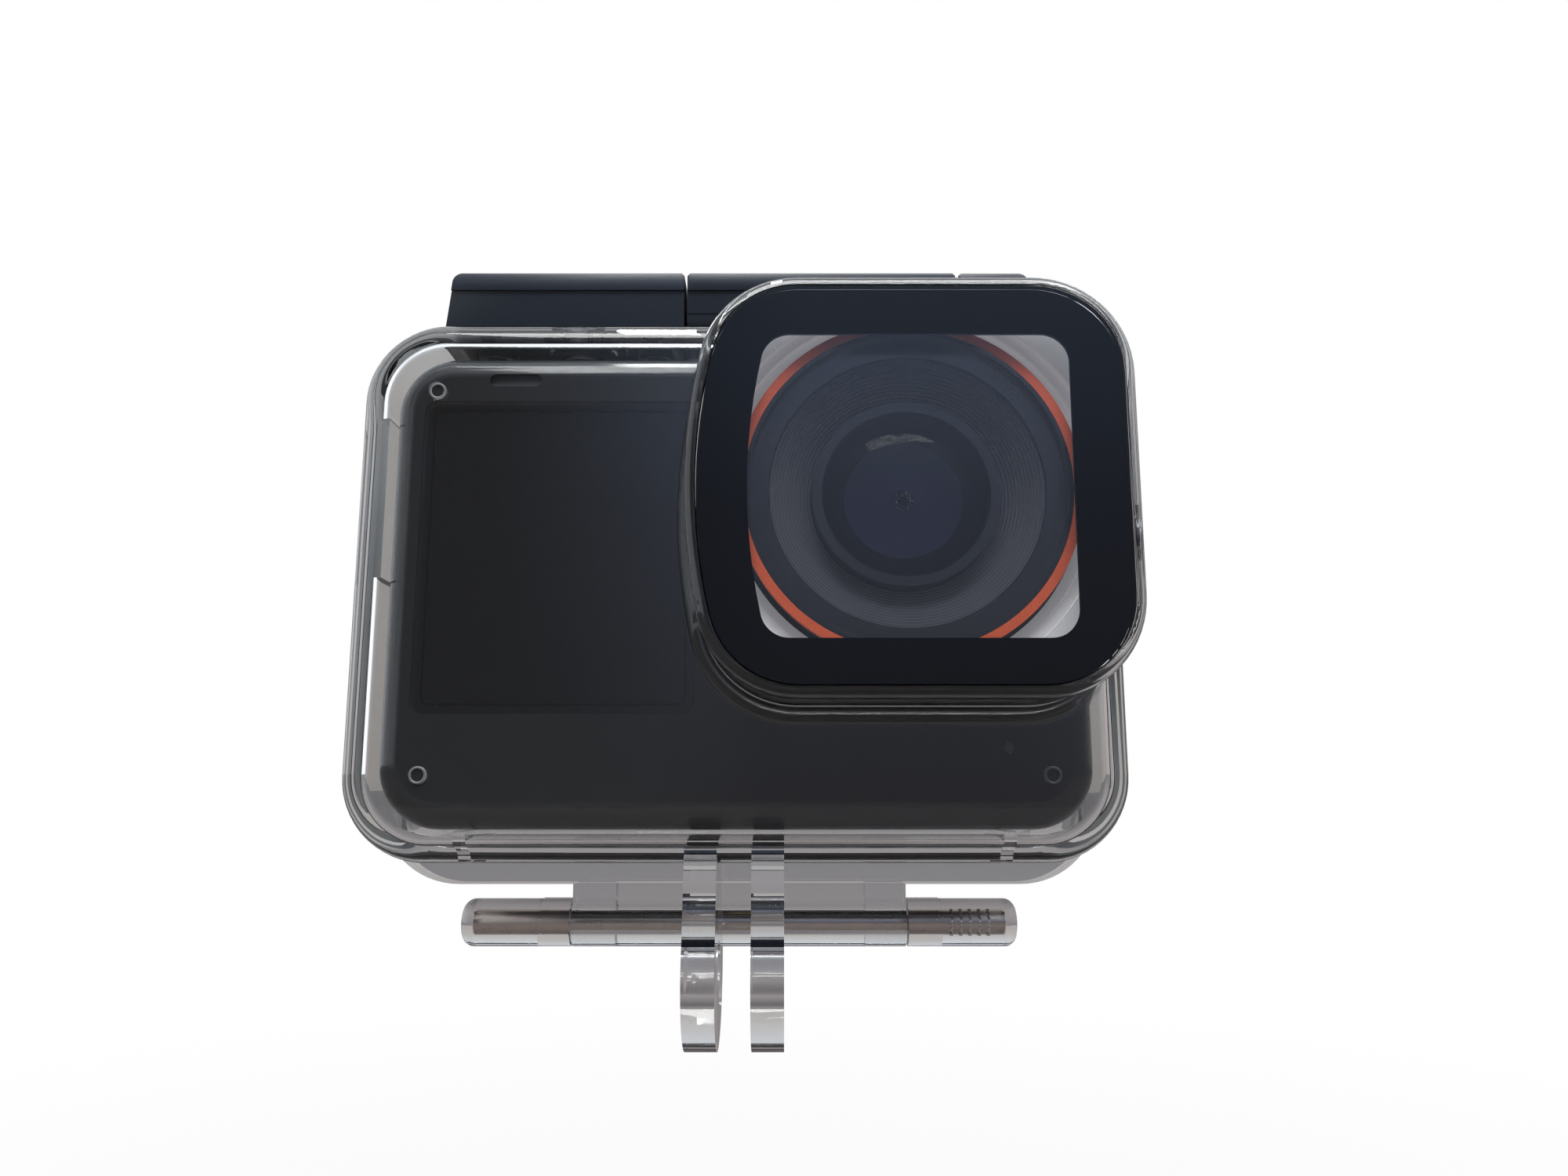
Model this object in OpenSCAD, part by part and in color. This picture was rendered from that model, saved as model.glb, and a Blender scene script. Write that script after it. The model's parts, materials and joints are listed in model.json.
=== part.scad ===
// Action camera in its clear dive case.
// Millimetres. The origin is the middle of the mounting bolt's hole, +X to the viewer's right,
// +Y away from the viewer (the lens looks along -Y), +Z up.

/* [Mount fork] */
// Thickness of each of the two prongs
prong_t = 3.0; // [2.5:0.1:3.5]
// Clear gap between the prongs
prong_gap = 3.2; // [2.8:0.1:4]
// Radius of the round end of a prong
prong_r = 7.5; // [6.5:0.5:8]
// Radius of the bolt hole through the prongs
mount_bore_r = 2.5; // [2:0.1:3]

/* [Camera body] */
// Width of the camera
cam_w = 68.6; // [62:0.1:84]
// Height of the camera
cam_h = 47; // [42:0.1:58]
// Depth of the camera, without its lens barrel
cam_d = 22; // [19:0.1:26]
// Radius of the camera's corners, seen from the front
cam_corner_r = 6; // [4:0.5:7]
// Rounding of the camera's front and back edges
cam_edge_r = 2.6; // [1.5:0.1:3]
// Wall thickness of the camera's covers
cam_wall = 1.3; // [1:0.1:1.6]

/* [Clear case] */
// Wall thickness of the case
wall = 1.9; // [1.6:0.1:2.4]
// Gap between the camera and the side walls
side_gap = 1.0; // [0.6:0.1:1.6]
// Gap between the camera and the floor and roof of the case
roof_gap = 1.1; // [0.9:0.1:1.8]
// Gap between the camera and the back wall of the door
back_gap = 1.0; // [0.6:0.1:2]
// Height of the case's underside above the mounting bolt
case_base = 9.8; // [9:0.1:12]
// Distance of the case's face in front of the mounting bolt
case_setback = 5.5; // [4:0.1:6]
// Depth of the front shell, from its face to the door's seam
front_d = 17; // [15:0.5:19]
// Radius of the case's corners, seen from the front
corner_r = 8.2; // [6:0.1:10]
// Rounding of the case's front and back edges
edge_r = 2.5; // [2.2:0.1:3]
// How far the flange at the seam hangs below the case
flange_drop = 2.8; // [2:0.1:4]
// Thickness of the flange on each side of the seam
flange_t = 2.7; // [2:0.1:3.5]

/* [Lens port] */
// Width of the raised lens port
port_w = 40.4; // [38:0.1:44]
// Height of the raised lens port
port_h = 38.2; // [36:0.1:40]
// How far the port stands out of the case's face
port_proud = 11; // [10:0.1:13]
// Radius of the port's corners
port_corner_r = 9; // [7:0.5:10]
// How far the port's side next to the display bulges out, part of its width
port_bow = 1.2; // [0.4:0.1:1.6]
// Width of the opening in the black mask
mask_w = 29; // [26:0.1:31]
// Height of the opening in the black mask
mask_h = 27.7; // [25:0.1:30]
// Thickness of the flat window
window_t = 1.6; // [1.2:0.1:2]

/* [Lens] */
// Distance of the lens axis from the camera's right side
lens_from_side = 18.5; // [17.5:0.1:22]
// Distance of the lens axis from the camera's top
lens_from_top = 16.5; // [16:0.1:20]
// Radius of the lens barrel
barrel_r = 15.7; // [15:0.1:16]
// How far the barrel stands out of the camera's face
barrel_proud = 9.7; // [8:0.1:10]
// Width of the coloured ring on the barrel's rim
ring_w = 0.85; // [0.6:0.05:1.2]
// Outer radius of the grooved baffle
baffle_r = 12.6; // [11:0.1:13]
// Number of steps in the grooved baffle
baffle_steps = 12; // [6:1:14]
// Radius of the front lens element
element_r = 7.7; // [7:0.1:8.2]

/* [Hinge] */
// Height of the hinge pin above the mounting bolt
hinge_z = 3.1; // [2.8:0.1:3.5]
// Distance of the hinge pin behind the mounting bolt
hinge_y = 9.8; // [9.4:0.1:10.4]
// Radius of the hinge barrel
hinge_r = 2.4; // [2:0.1:2.6]
// Radius of the hinge pin
pin_r = 0.8; // [0.6:0.1:1.2]
// Half length of the middle barrel
hinge_mid = 17.1; // [12:0.1:20]
// Distance from the middle to the end of each outer knuckle
hinge_end = 28.5; // [25:0.1:31]

/* [Bar on top] */
// Half width of the bar of controls on top of the case
bar_half = 31; // [29:0.5:33]
// Height of the bar above the case
bar_h = 7.5; // [7:0.1:8.5]
// Position of the split between the shutter pad and the latch
split_a = -5.75; // [-8:0.25:-4]
// Position of the split between the latch and its lock
split_b = 22.8; // [20:0.1:24]
// Width of each split
split_gap = 0.3; // [0.2:0.05:0.5]
// Height of the lip along the bar's top front edge
lip_h = 1.9; // [1.2:0.1:2.5]

/* [Buttons] */
// Travel of the case's buttons and of the keys under them
btn_travel = 0.6; // [0.3:0.1:0.7]
// Radius of the button plungers
plunger_r = 1.5; // [1.2:0.1:2]
// Radius of the camera's keys
key_r = 4.5; // [3.5:0.1:5]
// Distance of the shutter key from the middle of the camera
shutter_off = 17.2; // [15:0.1:18]

/* [Display] */
// Width of the front display's glass
disp_w = 27.1; // [24:0.1:28]
// Height of the front display's glass
disp_h = 31; // [26:0.1:33]

/* [Hidden] */
$fn = 64;
eps = 0.02;          // overlap that joins touching shapes
bow_in = 0.06;       // how far a bowed side's arc sits inside its corners' tangent
run_fit = 0.05;      // radial clearance of anything that turns or slides
seam_gap = 0.1;      // between the front shell and the door
pip_h = 0.4;         // the pips and the gap they keep between case and camera
face_t = 1.8;        // thickness of the case's front face and back wall

// Case, from the camera outwards
case_w = cam_w + 2 * (side_gap + wall);
case_h = cam_h + 2 * (roof_gap + wall);
case_r = case_w / 2;
case_top = case_base + case_h;
case_front = -case_setback;
seam = case_front + front_d;
door_front = seam + seam_gap;
cam_front = case_front + face_t + pip_h;
cam_back = cam_front + cam_d;
case_back = cam_back + back_gap + face_t;
cam_r = cam_w / 2;
cam_bot = case_base + wall + roof_gap;
cam_top = cam_bot + cam_h;
cav_r = case_r - wall;
cav_bot = case_base + wall;
cav_top = case_top - wall;
flange_over = 0.3;   // how far the flange stands out at the sides

// Lens and port share one axis
lens_x = cam_r - lens_from_side;
lens_z = cam_top - lens_from_top;
barrel_front = cam_front - barrel_proud;
port_front = case_front - port_proud;
port_edge_r = 1.1;
port_rim = 1.0;      // clear rim round the window
window_inset = 0.15;
mask_t = 0.4;
port_seal_t = 0.6;
ledge_w = 2.2;       // shelf that the window's seal sits on
ledge_t = 1.2;
barrel_gap = 0.3;    // least gap between the shelf and the lens barrel
ledge_in = min(wall + ledge_w - 1, port_h / 2 - barrel_r - barrel_gap);
window_back = port_front + window_inset + window_t;
ledge_front = window_back + mask_t + port_seal_t;
ledge_back = ledge_front + ledge_t;
port_x0 = lens_x - port_w / 2 + port_bow;
port_flat_w = port_w - port_bow;
port_z0 = lens_z - port_h / 2;
foot_r = 1.8;        // fillet at the foot of the port

// Fork
prong_in = prong_gap / 2;

// Hinge
knuckle_gap = 0.2;
pin_end = hinge_end - 1.2;
arm_w = 4.0;         // arms that carry the outer knuckles
web_front = hinge_y - 1.5;

// Bar on top
bar_front = 0.5;
bar_back = 13.2;
bar_top = case_top + bar_h;
bar_draft = 0.6;     // each end leans in by this much
bar_corner_r = 1.1;
lip_proud = 0.25;
rest_gap = btn_travel + 0.15;
bar_bot = case_top + rest_gap;
bar_wall = 1.3;
latch_y = bar_front + 2.9;
latch_z = case_top + 3.1;
latch_pin_r = 0.9;
latch_boss_r = 2.8;
ear_t = 2.4;
ear_r = 2.1;
ear_xs = [split_a + 8.5, split_b - 6];
latch_x0 = split_a + split_gap / 2;
latch_x1 = split_b - split_gap / 2;
ridge_y = seam + 1.6;
ridge_t = 1.4;
ridge_h = 1.5;
hook_in = ridge_y + ridge_t + 0.15;
hook_t = 1.7;
lock_travel = 2.0;
pocket_x0 = split_b + split_gap / 2 + bar_wall;
pocket_x1 = bar_half - bar_wall - 0.3;
rail_y = 4.2;
rail_d = 5.0;
rail_h = 3.6;

// Shutter button, in the middle of the case's depth
shutter_x = -shutter_off;
shutter_y = 6.5;
boss_r = 3.7;
boss_h = 2.2;
boss_top = case_top + boss_h;
seal_r = 2.5;
seal_h = 1.2;
clip_r = 2.4;
clip_t = 0.4;
clip_pocket_r = 2.9;
clip_pocket_h = clip_t + 0.3;
groove_r = plunger_r - 0.35;
post_xs = [-26.5, -9.2];
post_r = 1.2;
post_h = 4.0;
key_gap = 0.1;       // between a plunger and the key it presses
key_fit = 0.2;
key_t = 1.0;
spring_r = 2.5;
wire_r = 0.22;

// Power button, in the right wall of the case
power_y = 6.5;
power_z = cam_bot + 29;
cap_r = 4.0;
cap_t = 1.8;
power_boss_h = 1.2;
cap_gap = btn_travel + 0.15;

// Inside of the camera
front_cover_d = 10.5;
cam_seam = cam_front + front_cover_d;
disp_x0 = -31.1;
disp_z0 = lens_z + 11.4 - disp_h;
disp_glass_t = 0.8;
disp_panel_t = 1.6;
pip_r = 0.9;
pip_inset_x = 7.3;
pip_inset_z = 8.1;
pill_w = 5.2;
pill_h = 1.3;
pill_x = -22.2;
pill_z = cam_top - 2.9;
led_r = 0.55;
led_x = 25.9;
led_z = cam_bot + 7.7;
bore_in = barrel_r - 1.3;
cover_glass_t = 0.8;
cover_glass_y = barrel_front + 0.25;
bezel_back = cover_glass_y + cover_glass_t + 0.5;
baffle_d = 3.2;
cell_r = element_r + 0.95;
cell_back = cam_front + 7;
element_seat = 3.6;  // depth of the cell's seat for the front element
iris_t = 0.3;
iris_r = 0.95;
stop_bore = 5.5;     // bore of the lens cell in front of the rear elements
rear_r = 6.0;
rear_t = 2.2;
rear_seat = 5.6;     // depth of the first rear element
rear_pitch = 3.4;
screw_r = 0.8;
boss_screw_r = 1.9;
screw_bite = 3.5;    // how far a screw goes into each cover
board_y = cam_seam + 0.6;
board_t = 0.8;
screen_w = 54;
screen_h = 36;
screen_glass_t = 0.9;
battery_w = 28.4;
battery_h = 36;
battery_d = 9.6;
battery_y = cam_front + 3.4;
battery_x0 = -cam_r + cam_wall + 1.6 + boss_screw_r + 0.3;
battery_z0 = cam_bot + cam_wall + 1.6;
side_door_t = 0.9;

// ---------------------------------------------------------------- shared shapes

// Rectangle with round corners, its lower left corner at the origin. With bow, its left side is
// an arc that runs smoothly into the corners and stands out by bow.
module rounded_rect(w, h, r, bow = 0) {
    translate([r, 0]) square([w - 2 * r, h]);
    translate([0, r]) square([w, h - 2 * r]);
    for (x = [r, w - r], z = [r, h - r]) translate([x, z]) circle(r);
    if (bow > 0) bow_sector(h, r, bow, r);
}

// Radius of the arc through the centres of two corners, and half the angle that it spans
function bow_run(h, r, bow) = (pow(h / 2 - r, 2) + pow(bow, 2)) / (2 * bow);
function bow_half_angle(h, r, bow) = asin((h / 2 - r) / bow_run(h, r, bow));

// Part of a bowed rectangle between its left corners' centres and an arc, reach beyond them. The
// arc sits in by bow_in, so that it crosses the corners' circles instead of just touching them.
module bow_sector(h, r, bow, reach) {
    run = bow_run(h, r, bow);
    a = bow_half_angle(h, r, bow);
    far = r + 5;
    intersection() {
        translate([r - bow + run, h / 2]) circle(run + reach - bow_in, $fn = 360);
        polygon([[r, r], [r, h - r], [r - far * cos(a), h - r + far * sin(a)],
            [r - far * cos(a), r - far * sin(a)]]);
    }
}

// Puts a shape drawn in X and Z on the plane at y and gives it depth d along +Y
module upright(y, d) {
    translate([0, y + d, 0]) rotate([90, 0, 0]) linear_extrude(d) children();
}

// Puts a shape drawn in Y and Z on the plane at x and gives it length l along +X
module sideways(x, l) {
    translate([x, 0, 0]) rotate([90, 0, 90]) linear_extrude(l) children();
}

// Flat plate with round corners, seen from the front
module plate(x0, z0, w, h, r, y, d, bow = 0) {
    upright(y, d) translate([x0, z0]) rounded_rect(w, h, r, bow);
}

// Sweeps a profile round a rounded rectangle. The profile is drawn as distance out from the
// corner's centre, and depth along +Y.
module around(x0, z0, w, h, r, y, bow = 0) {
    turn = bow > 0 ? bow_half_angle(h, r, bow) : 0;
    translate([x0 + w / 2, y, z0 + h / 2]) {
        for (sx = [-1, 1], sz = [-1, 1]) {
            mirror([sx < 0 ? 1 : 0, 0, 0]) mirror([0, 0, sz < 0 ? 1 : 0])
                translate([w / 2 - r, 0, h / 2 - r])
                rotate([-90, 0, 0]) rotate([0, 0, -90])
                rotate_extrude(angle = 90) children();
        }
        for (s = [0, 1]) {
            if (s == 0 || bow == 0) mirror([s, 0, 0]) translate([w / 2 - r, 0, r - h / 2])
                linear_extrude(h - 2 * r) children();
            mirror([0, 0, s]) translate([w / 2 - r, 0, h / 2 - r])
                rotate([0, -90, 0]) linear_extrude(w - 2 * r) children();
        }
        if (bow > 0) {
            run = bow_run(h, r, bow);
            mirror([1, 0, 0]) translate([w / 2 - r + bow - run, 0, 0])
                rotate([-90, 0, 0]) rotate([0, 0, -turn])
                rotate_extrude(angle = 2 * turn, $fn = 360) translate([run - bow_in, 0]) children();
        }
    }
}

// Plate whose front edge is rounded by e
module soft_plate(x0, z0, w, h, r, y, d, e, bow = 0) {
    around(x0, z0, w, h, r, y, bow) {
        square([r - e, d]);
        translate([0, e]) square([r, d - e]);
        translate([r - e, e]) circle(e);
    }
    translate([x0 + r - eps, y, z0 + r - eps])
        cube([w - 2 * r + 2 * eps, d, h - 2 * r + 2 * eps]);
    if (bow > 0) upright(y, d) translate([x0, z0]) bow_sector(h, r, bow, eps + bow_in);
}

// The same, rounded at its back edge, ending at y
module soft_plate_back(x0, z0, w, h, r, y, d, e) {
    mirror([0, 1, 0]) soft_plate(x0, z0, w, h, r, -y, d, e);
}

module rod_y(x, z, y, l, r) {
    translate([x, y, z]) rotate([-90, 0, 0]) cylinder(l, r, r);
}

module rod_x(x, y, z, l, r) {
    translate([x, y, z]) rotate([0, 90, 0]) cylinder(l, r, r);
}

module rod_z(x, y, z, l, r) {
    translate([x, y, z]) cylinder(l, r, r);
}

// Ring about the lens axis, from y for depth l
module lens_ring(y, l, r_out, r_in) {
    difference() {
        rod_y(lens_x, lens_z, y, l, r_out);
        rod_y(lens_x, lens_z, y - 1, l + 2, r_in);
    }
}

// Shape turned about the lens axis, drawn as radius and depth along +Y
module lens_turn(y) {
    translate([lens_x, y, lens_z]) rotate([-90, 0, 0]) rotate_extrude() children();
}

// Coil of round wire along +Z, ends closed off square
module coil(r, wire, length, turns) {
    per_turn = 12;
    sides = 6;
    count = turns * per_turn;
    rings = [for (i = [0:count]) [for (k = [0:sides - 1])
        let (a = 360 * i / per_turn, b = 360 * k / sides, q = r + wire * cos(b))
        [q * cos(a), q * sin(a), wire + (length - 2 * wire) * i / count + wire * sin(b)]]];
    skin = [for (i = [0:count - 1], k = [0:sides - 1])
        let (n = (k + 1) % sides)
        [i * sides + k, (i + 1) * sides + k, (i + 1) * sides + n, i * sides + n]];
    caps = [
        [for (k = [0:sides - 1]) k],
        [for (k = [sides - 1:-1:0]) count * sides + k],
    ];
    polyhedron([for (ring = rings, p = ring) p], concat(skin, caps));
}

// ---------------------------------------------------------------- case

module case_outline_front() {
    soft_plate(-case_r, case_base, case_w, case_h, corner_r, case_front, front_d, edge_r);
}

module flange(y, d) {
    plate(-case_r - flange_over, case_base - flange_drop, case_w + 2 * flange_over,
        case_h + flange_drop, corner_r + flange_over, y, d);
}

module port_block() {
    soft_plate(port_x0, port_z0, port_flat_w, port_h, port_corner_r, port_front,
        port_proud + face_t, port_edge_r, port_bow);
}

// Plate of the port's outline, smaller by inset all round
module port_plate(inset, y, d) {
    plate(port_x0 + inset, port_z0 + inset, port_flat_w - 2 * inset, port_h - 2 * inset,
        port_corner_r - inset, y, d, port_bow);
}

// Concave fillet where the port meets the case's face, cut off level with the case's sides
module port_foot() {
    intersection() {
        around(port_x0, port_z0, port_flat_w, port_h, port_corner_r, case_front - foot_r,
            port_bow)
            difference() {
                translate([port_corner_r - 1, 0]) square([1 + foot_r, foot_r + 0.5]);
                translate([port_corner_r + foot_r, 0]) circle(foot_r);
            }
        plate(-case_r + edge_r, case_base + edge_r, case_w - 2 * edge_r, case_h - 2 * edge_r,
            corner_r - edge_r, case_front - foot_r - 1, foot_r + 3);
    }
}

module cavity() {
    soft_plate(-cav_r, cav_bot, 2 * cav_r, cav_top - cav_bot, corner_r - wall,
        case_front + face_t, front_d, edge_r - 1.6);
}

module port_cavity() {
    port_plate(wall, ledge_back, case_front + face_t + 1 - ledge_back);
    port_plate(ledge_in, ledge_front - 1, ledge_t + 2);
    port_plate(port_rim, port_front - 1, ledge_front - port_front + 1);
}

module hinge_middle() {
    rod_x(-hinge_mid, hinge_y, hinge_z, 2 * hinge_mid, hinge_r);
    translate([-hinge_mid, web_front, hinge_z])
        cube([2 * hinge_mid, seam - web_front, case_base - flange_drop - hinge_z + 0.5]);
}

module latch_ears() {
    for (x = ear_xs) {
        rod_x(x, latch_y, latch_z, ear_t, ear_r);
        translate([x, latch_y - ear_r, case_top - 0.5])
            cube([ear_t, 2 * ear_r, latch_z - case_top + 0.5]);
    }
}

// Rail under the lock. The lock's pocket is longer than the rail by its travel.
module lock_rail() {
    translate([pocket_x0 + lock_travel + 0.15, rail_y, case_top - 0.5])
        cube([pocket_x1 - pocket_x0 - lock_travel - 0.3, rail_d, rail_h + 0.5]);
}

module front_shell() {
    color("#dfe6e8", 0.35) difference() {
        union() {
            difference() {
                union() {
                    case_outline_front();
                    flange(seam - flange_t, flange_t);
                    port_block();
                    port_foot();
                    rod_z(shutter_x, shutter_y, case_top - 1, boss_h + 1, boss_r);
                    rod_x(case_r - 1, power_y, power_z, power_boss_h + 1, boss_r);
                }
                cavity();
                port_cavity();
            }
            hinge_middle();
            latch_ears();
            lock_rail();
            for (x = post_xs) rod_z(x, shutter_y, case_top - 0.5, post_h + 0.5, post_r);
            // Two ribs hold the camera off the floor of the case
            for (x = [-26.3, 25.1])
                translate([x, case_front + face_t - 0.5, cav_bot - 0.5])
                    cube([1.2, 12, roof_gap + 0.5 - 0.05]);
            // A pad on the left wall locates it sideways
            translate([-cav_r - 0.5, case_front + face_t - 0.5, cam_bot + 24])
                cube([side_gap + 0.5 - 0.1, 11, 16]);
            // Pips keep the camera's face off the case's
            for (p = [[-1, 0], [1, 0], [-1, 1]])
                rod_y(p[0] * (case_r - pip_inset_x), p[1] == 0 ? case_base + pip_inset_z
                    : case_top - pip_inset_z + 1, case_front + face_t - 0.5, pip_h + 0.45, pip_r);
        }
        // Hinge pin
        rod_x(-hinge_mid - 1, hinge_y, hinge_z, 2 * hinge_mid + 2, pin_r + run_fit);
        // Latch pin, a press fit in the ears
        for (x = ear_xs) rod_x(x - 1, latch_y, latch_z, ear_t + 2, latch_pin_r);
        // Shutter plunger, its seal's gland and its clip's pocket
        rod_z(shutter_x, shutter_y, cav_top - 1, wall + boss_h + 2, plunger_r + run_fit);
        rod_z(shutter_x, shutter_y, boss_top - seal_h, seal_h + 1, seal_r);
        rod_z(shutter_x, shutter_y, cav_top - 1, clip_pocket_h + 1, clip_pocket_r);
        // Power plunger, the same
        rod_x(cav_r - 1, power_y, power_z, wall + power_boss_h + 2, plunger_r + run_fit);
        rod_x(case_r + power_boss_h - seal_h, power_y, power_z, seal_h + 1, seal_r);
        rod_x(cav_r - 1, power_y, power_z, clip_pocket_h + 1, clip_pocket_r);
    }
}

// Point just inside the prong's round end that a straight side from point p runs to, on side s
function touch(p, s) =
    let (r = prong_r - 0.12, a = atan2(p[1], p[0]) + s * acos(r / norm(p)))
    [r * cos(a), r * sin(a)];

module prong_root() {
    root_front = [case_front + 0.3, case_base + 2.4];
    root_back = [web_front - 2.6, case_base + 2.4];
    polygon([[0, 0], touch(root_back, -1), root_back, root_front, touch(root_front, 1)]);
}

module mount_fork() {
    color("#d8dfe2", 0.4) difference() {
        for (s = [0, 1]) mirror([s, 0, 0]) {
            rod_x(prong_in, 0, 0, prong_t, prong_r);
            sideways(prong_in, prong_t) prong_root();
        }
        rod_x(-prong_in - prong_t - 1, 0, 0, 2 * (prong_in + prong_t + 1), mount_bore_r);
        case_outline_front();
    }
}

module port_window() {
    color("#e8eef0", 0.25) port_plate(port_rim + 0.05, port_front + window_inset, window_t);
}

module port_mask() {
    color("#14171c") difference() {
        port_plate(port_rim + 0.1, window_back, mask_t);
        plate(lens_x - mask_w / 2 + port_bow, lens_z - mask_h / 2, mask_w - port_bow, mask_h,
            2.6, window_back - 1, mask_t + 2, port_bow);
    }
}

module port_seal() {
    color("#202326") difference() {
        port_plate(port_rim + 0.1, window_back + mask_t, port_seal_t);
        port_plate(ledge_in - 0.2, window_back + mask_t - 1, port_seal_t + 2);
    }
}

// Clear stepped collar that centres the barrel in the port
module lens_port_ring() {
    steps = 3;
    step_y = 0.8;
    step_r = 0.9;
    color("#e4eaec", 0.35) intersection() {
        union() {
            for (i = [0:steps - 1])
                lens_ring(ledge_back + 0.1 + i * step_y, step_y, port_w,
                    barrel_r + 0.4 + (steps - 1 - i) * step_r);
        }
        port_plate(wall + 0.1, port_front, port_proud);
    }
}

module knuckle() {
    length = hinge_end - hinge_mid - knuckle_gap;
    end_r = 1.2;
    translate([hinge_mid + knuckle_gap, hinge_y, hinge_z]) rotate([0, 90, 0])
        rotate_extrude() {
            square([hinge_r, length - end_r]);
            square([hinge_r - end_r, length]);
            translate([hinge_r - end_r, length - end_r]) circle_quarter(end_r);
        }
}

module circle_quarter(r) {
    intersection() {
        circle(r);
        square([r, r]);
    }
}

// The arm comes down from the door behind the middle barrel and turns out to the knuckle
module knuckle_arm() {
    arm_y = hinge_y + hinge_r + 0.3;
    arm_t = door_front + flange_t - arm_y;
    low = hinge_z - hinge_r + 0.3;
    foot_h = 2 * hinge_r - 0.6;
    translate([hinge_mid - arm_w, arm_y, low])
        cube([arm_w, arm_t, case_base - flange_drop - low + 0.5]);
    translate([hinge_mid - arm_w, arm_y, low]) cube([2 * arm_w, arm_t, foot_h]);
    translate([hinge_mid + knuckle_gap, hinge_y, low])
        cube([arm_w - knuckle_gap, arm_y + arm_t - hinge_y, foot_h]);
}

module rear_door() {
    depth = case_back - door_front;
    color("#dfe6e8", 0.35) difference() {
        union() {
            difference() {
                union() {
                    soft_plate_back(-case_r, case_base, case_w, case_h, corner_r,
                        case_back, depth, edge_r);
                    flange(door_front, flange_t);
                }
                soft_plate_back(-cav_r, cav_bot, 2 * cav_r, cav_top - cav_bot,
                    corner_r - wall, case_back - face_t, depth, edge_r - 1.6);
                gasket_groove();
            }
            // Ridge that the latch hooks behind
            translate([latch_x0 + 3, ridge_y, case_top - 0.5])
                cube([latch_x1 - latch_x0 - 6, ridge_t, ridge_h + 0.5]);
            for (s = [0, 1]) mirror([s, 0, 0]) {
                knuckle();
                knuckle_arm();
            }
        }
        for (s = [0, 1]) mirror([s, 0, 0])
            rod_x(hinge_mid, hinge_y, hinge_z, pin_end - hinge_mid, pin_r);
    }
}

module gasket_ring(grow, y, d) {
    mid = wall / 2;
    half = 0.45 + grow;
    outer = mid - half;
    inner = mid + half;
    difference() {
        plate(-case_r + outer, case_base + outer, case_w - 2 * outer, case_h - 2 * outer,
            corner_r - outer, y, d);
        plate(-case_r + inner, case_base + inner, case_w - 2 * inner, case_h - 2 * inner,
            corner_r - inner, y - 1, d + 2);
    }
}

module gasket_groove() {
    gasket_ring(0.05, door_front - 1, 2.6);
}

module door_gasket() {
    color("#c9ced0") gasket_ring(0, door_front - 0.05, 1.6);
}

module hinge_pin() {
    color("#b9bbbd") rod_x(-pin_end, hinge_y, hinge_z, 2 * pin_end, pin_r);
}

// ---------------------------------------------------------------- bar on top

// Front outline of the bar from x0 to x1. Ends named in lean are the bar's own ends.
module bar_outline(x0, x1, z0, lean0, lean1) {
    r = bar_corner_r;
    top0 = x0 + (lean0 ? bar_draft : 0);
    top1 = x1 - (lean1 ? bar_draft : 0);
    cut0 = lean0 ? r : split_gap;
    cut1 = lean1 ? r : split_gap;
    polygon([[x0, z0], [x1, z0], [top1, bar_top - cut1], [top1 - cut1, bar_top],
        [top0 + cut0, bar_top], [top0, bar_top - cut0]]);
    if (lean0) translate([top0 + r, bar_top - r]) circle(r);
    if (lean1) translate([top1 - r, bar_top - r]) circle(r);
}

// The bar's block with its lip, before anything is hollowed out
module bar_block(x0, x1, z0, lean0, lean1) {
    upright(bar_front, bar_back - bar_front) bar_outline(x0, x1, z0, lean0, lean1);
    intersection() {
        upright(bar_front - lip_proud, lip_proud + 1) bar_outline(x0, x1, z0, lean0, lean1);
        translate([x0 - 1, bar_front - lip_proud, bar_top - lip_h])
            cube([x1 - x0 + 2, 2, lip_h]);
    }
}

module shutter_pad() {
    x0 = -bar_half;
    x1 = split_a - split_gap / 2;
    inner_top = bar_top - 1.4;
    color("#2c3240") difference() {
        union() {
            difference() {
                bar_block(x0, x1, bar_bot, true, false);
                translate([x0 + bar_wall + 0.6, bar_front + bar_wall, bar_bot - 1])
                    cube([x1 - x0 - 2 * bar_wall - 0.6, bar_back - bar_front - 2 * bar_wall,
                        inner_top - bar_bot + 1]);
            }
            // Socket for the plunger's head, and tubes that slide on the two posts
            rod_z(shutter_x, shutter_y, boss_top + 2.2, inner_top - boss_top - 2, plunger_r + 1.2);
            for (x = post_xs)
                rod_z(x, shutter_y, bar_bot + 0.4, inner_top - bar_bot - 0.2, post_r + 0.9);
        }
        rod_z(shutter_x, shutter_y, boss_top, inner_top - 0.4 - boss_top, plunger_r);
        for (x = post_xs) rod_z(x, shutter_y, bar_bot - 1,
            case_top + post_h + btn_travel + 0.3 - bar_bot + 1, post_r + run_fit);
    }
}

// Rod with a groove for its clip. Drawn along +Z from the clip's end at z0 to z1.
module plunger(length, clip_at) {
    difference() {
        cylinder(length, plunger_r, plunger_r);
        translate([0, 0, clip_at]) difference() {
            cylinder(clip_t + 0.04, plunger_r + 1, plunger_r + 1);
            translate([0, 0, -1]) cylinder(clip_t + 2, groove_r, groove_r);
        }
    }
}

// Open ring that snaps into the plunger's groove
module clip() {
    difference() {
        cylinder(clip_t, clip_r, clip_r);
        translate([0, 0, -1]) cylinder(clip_t + 2, groove_r, groove_r);
        translate([0, -groove_r * 0.8, -1]) cube([clip_r + 1, groove_r * 1.6, clip_t + 2]);
    }
}

shutter_tip = cam_top + key_gap;
shutter_clip_z = cav_top + clip_pocket_h - clip_t - 0.02;
shutter_len = bar_top - 1.8 - shutter_tip;

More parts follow.
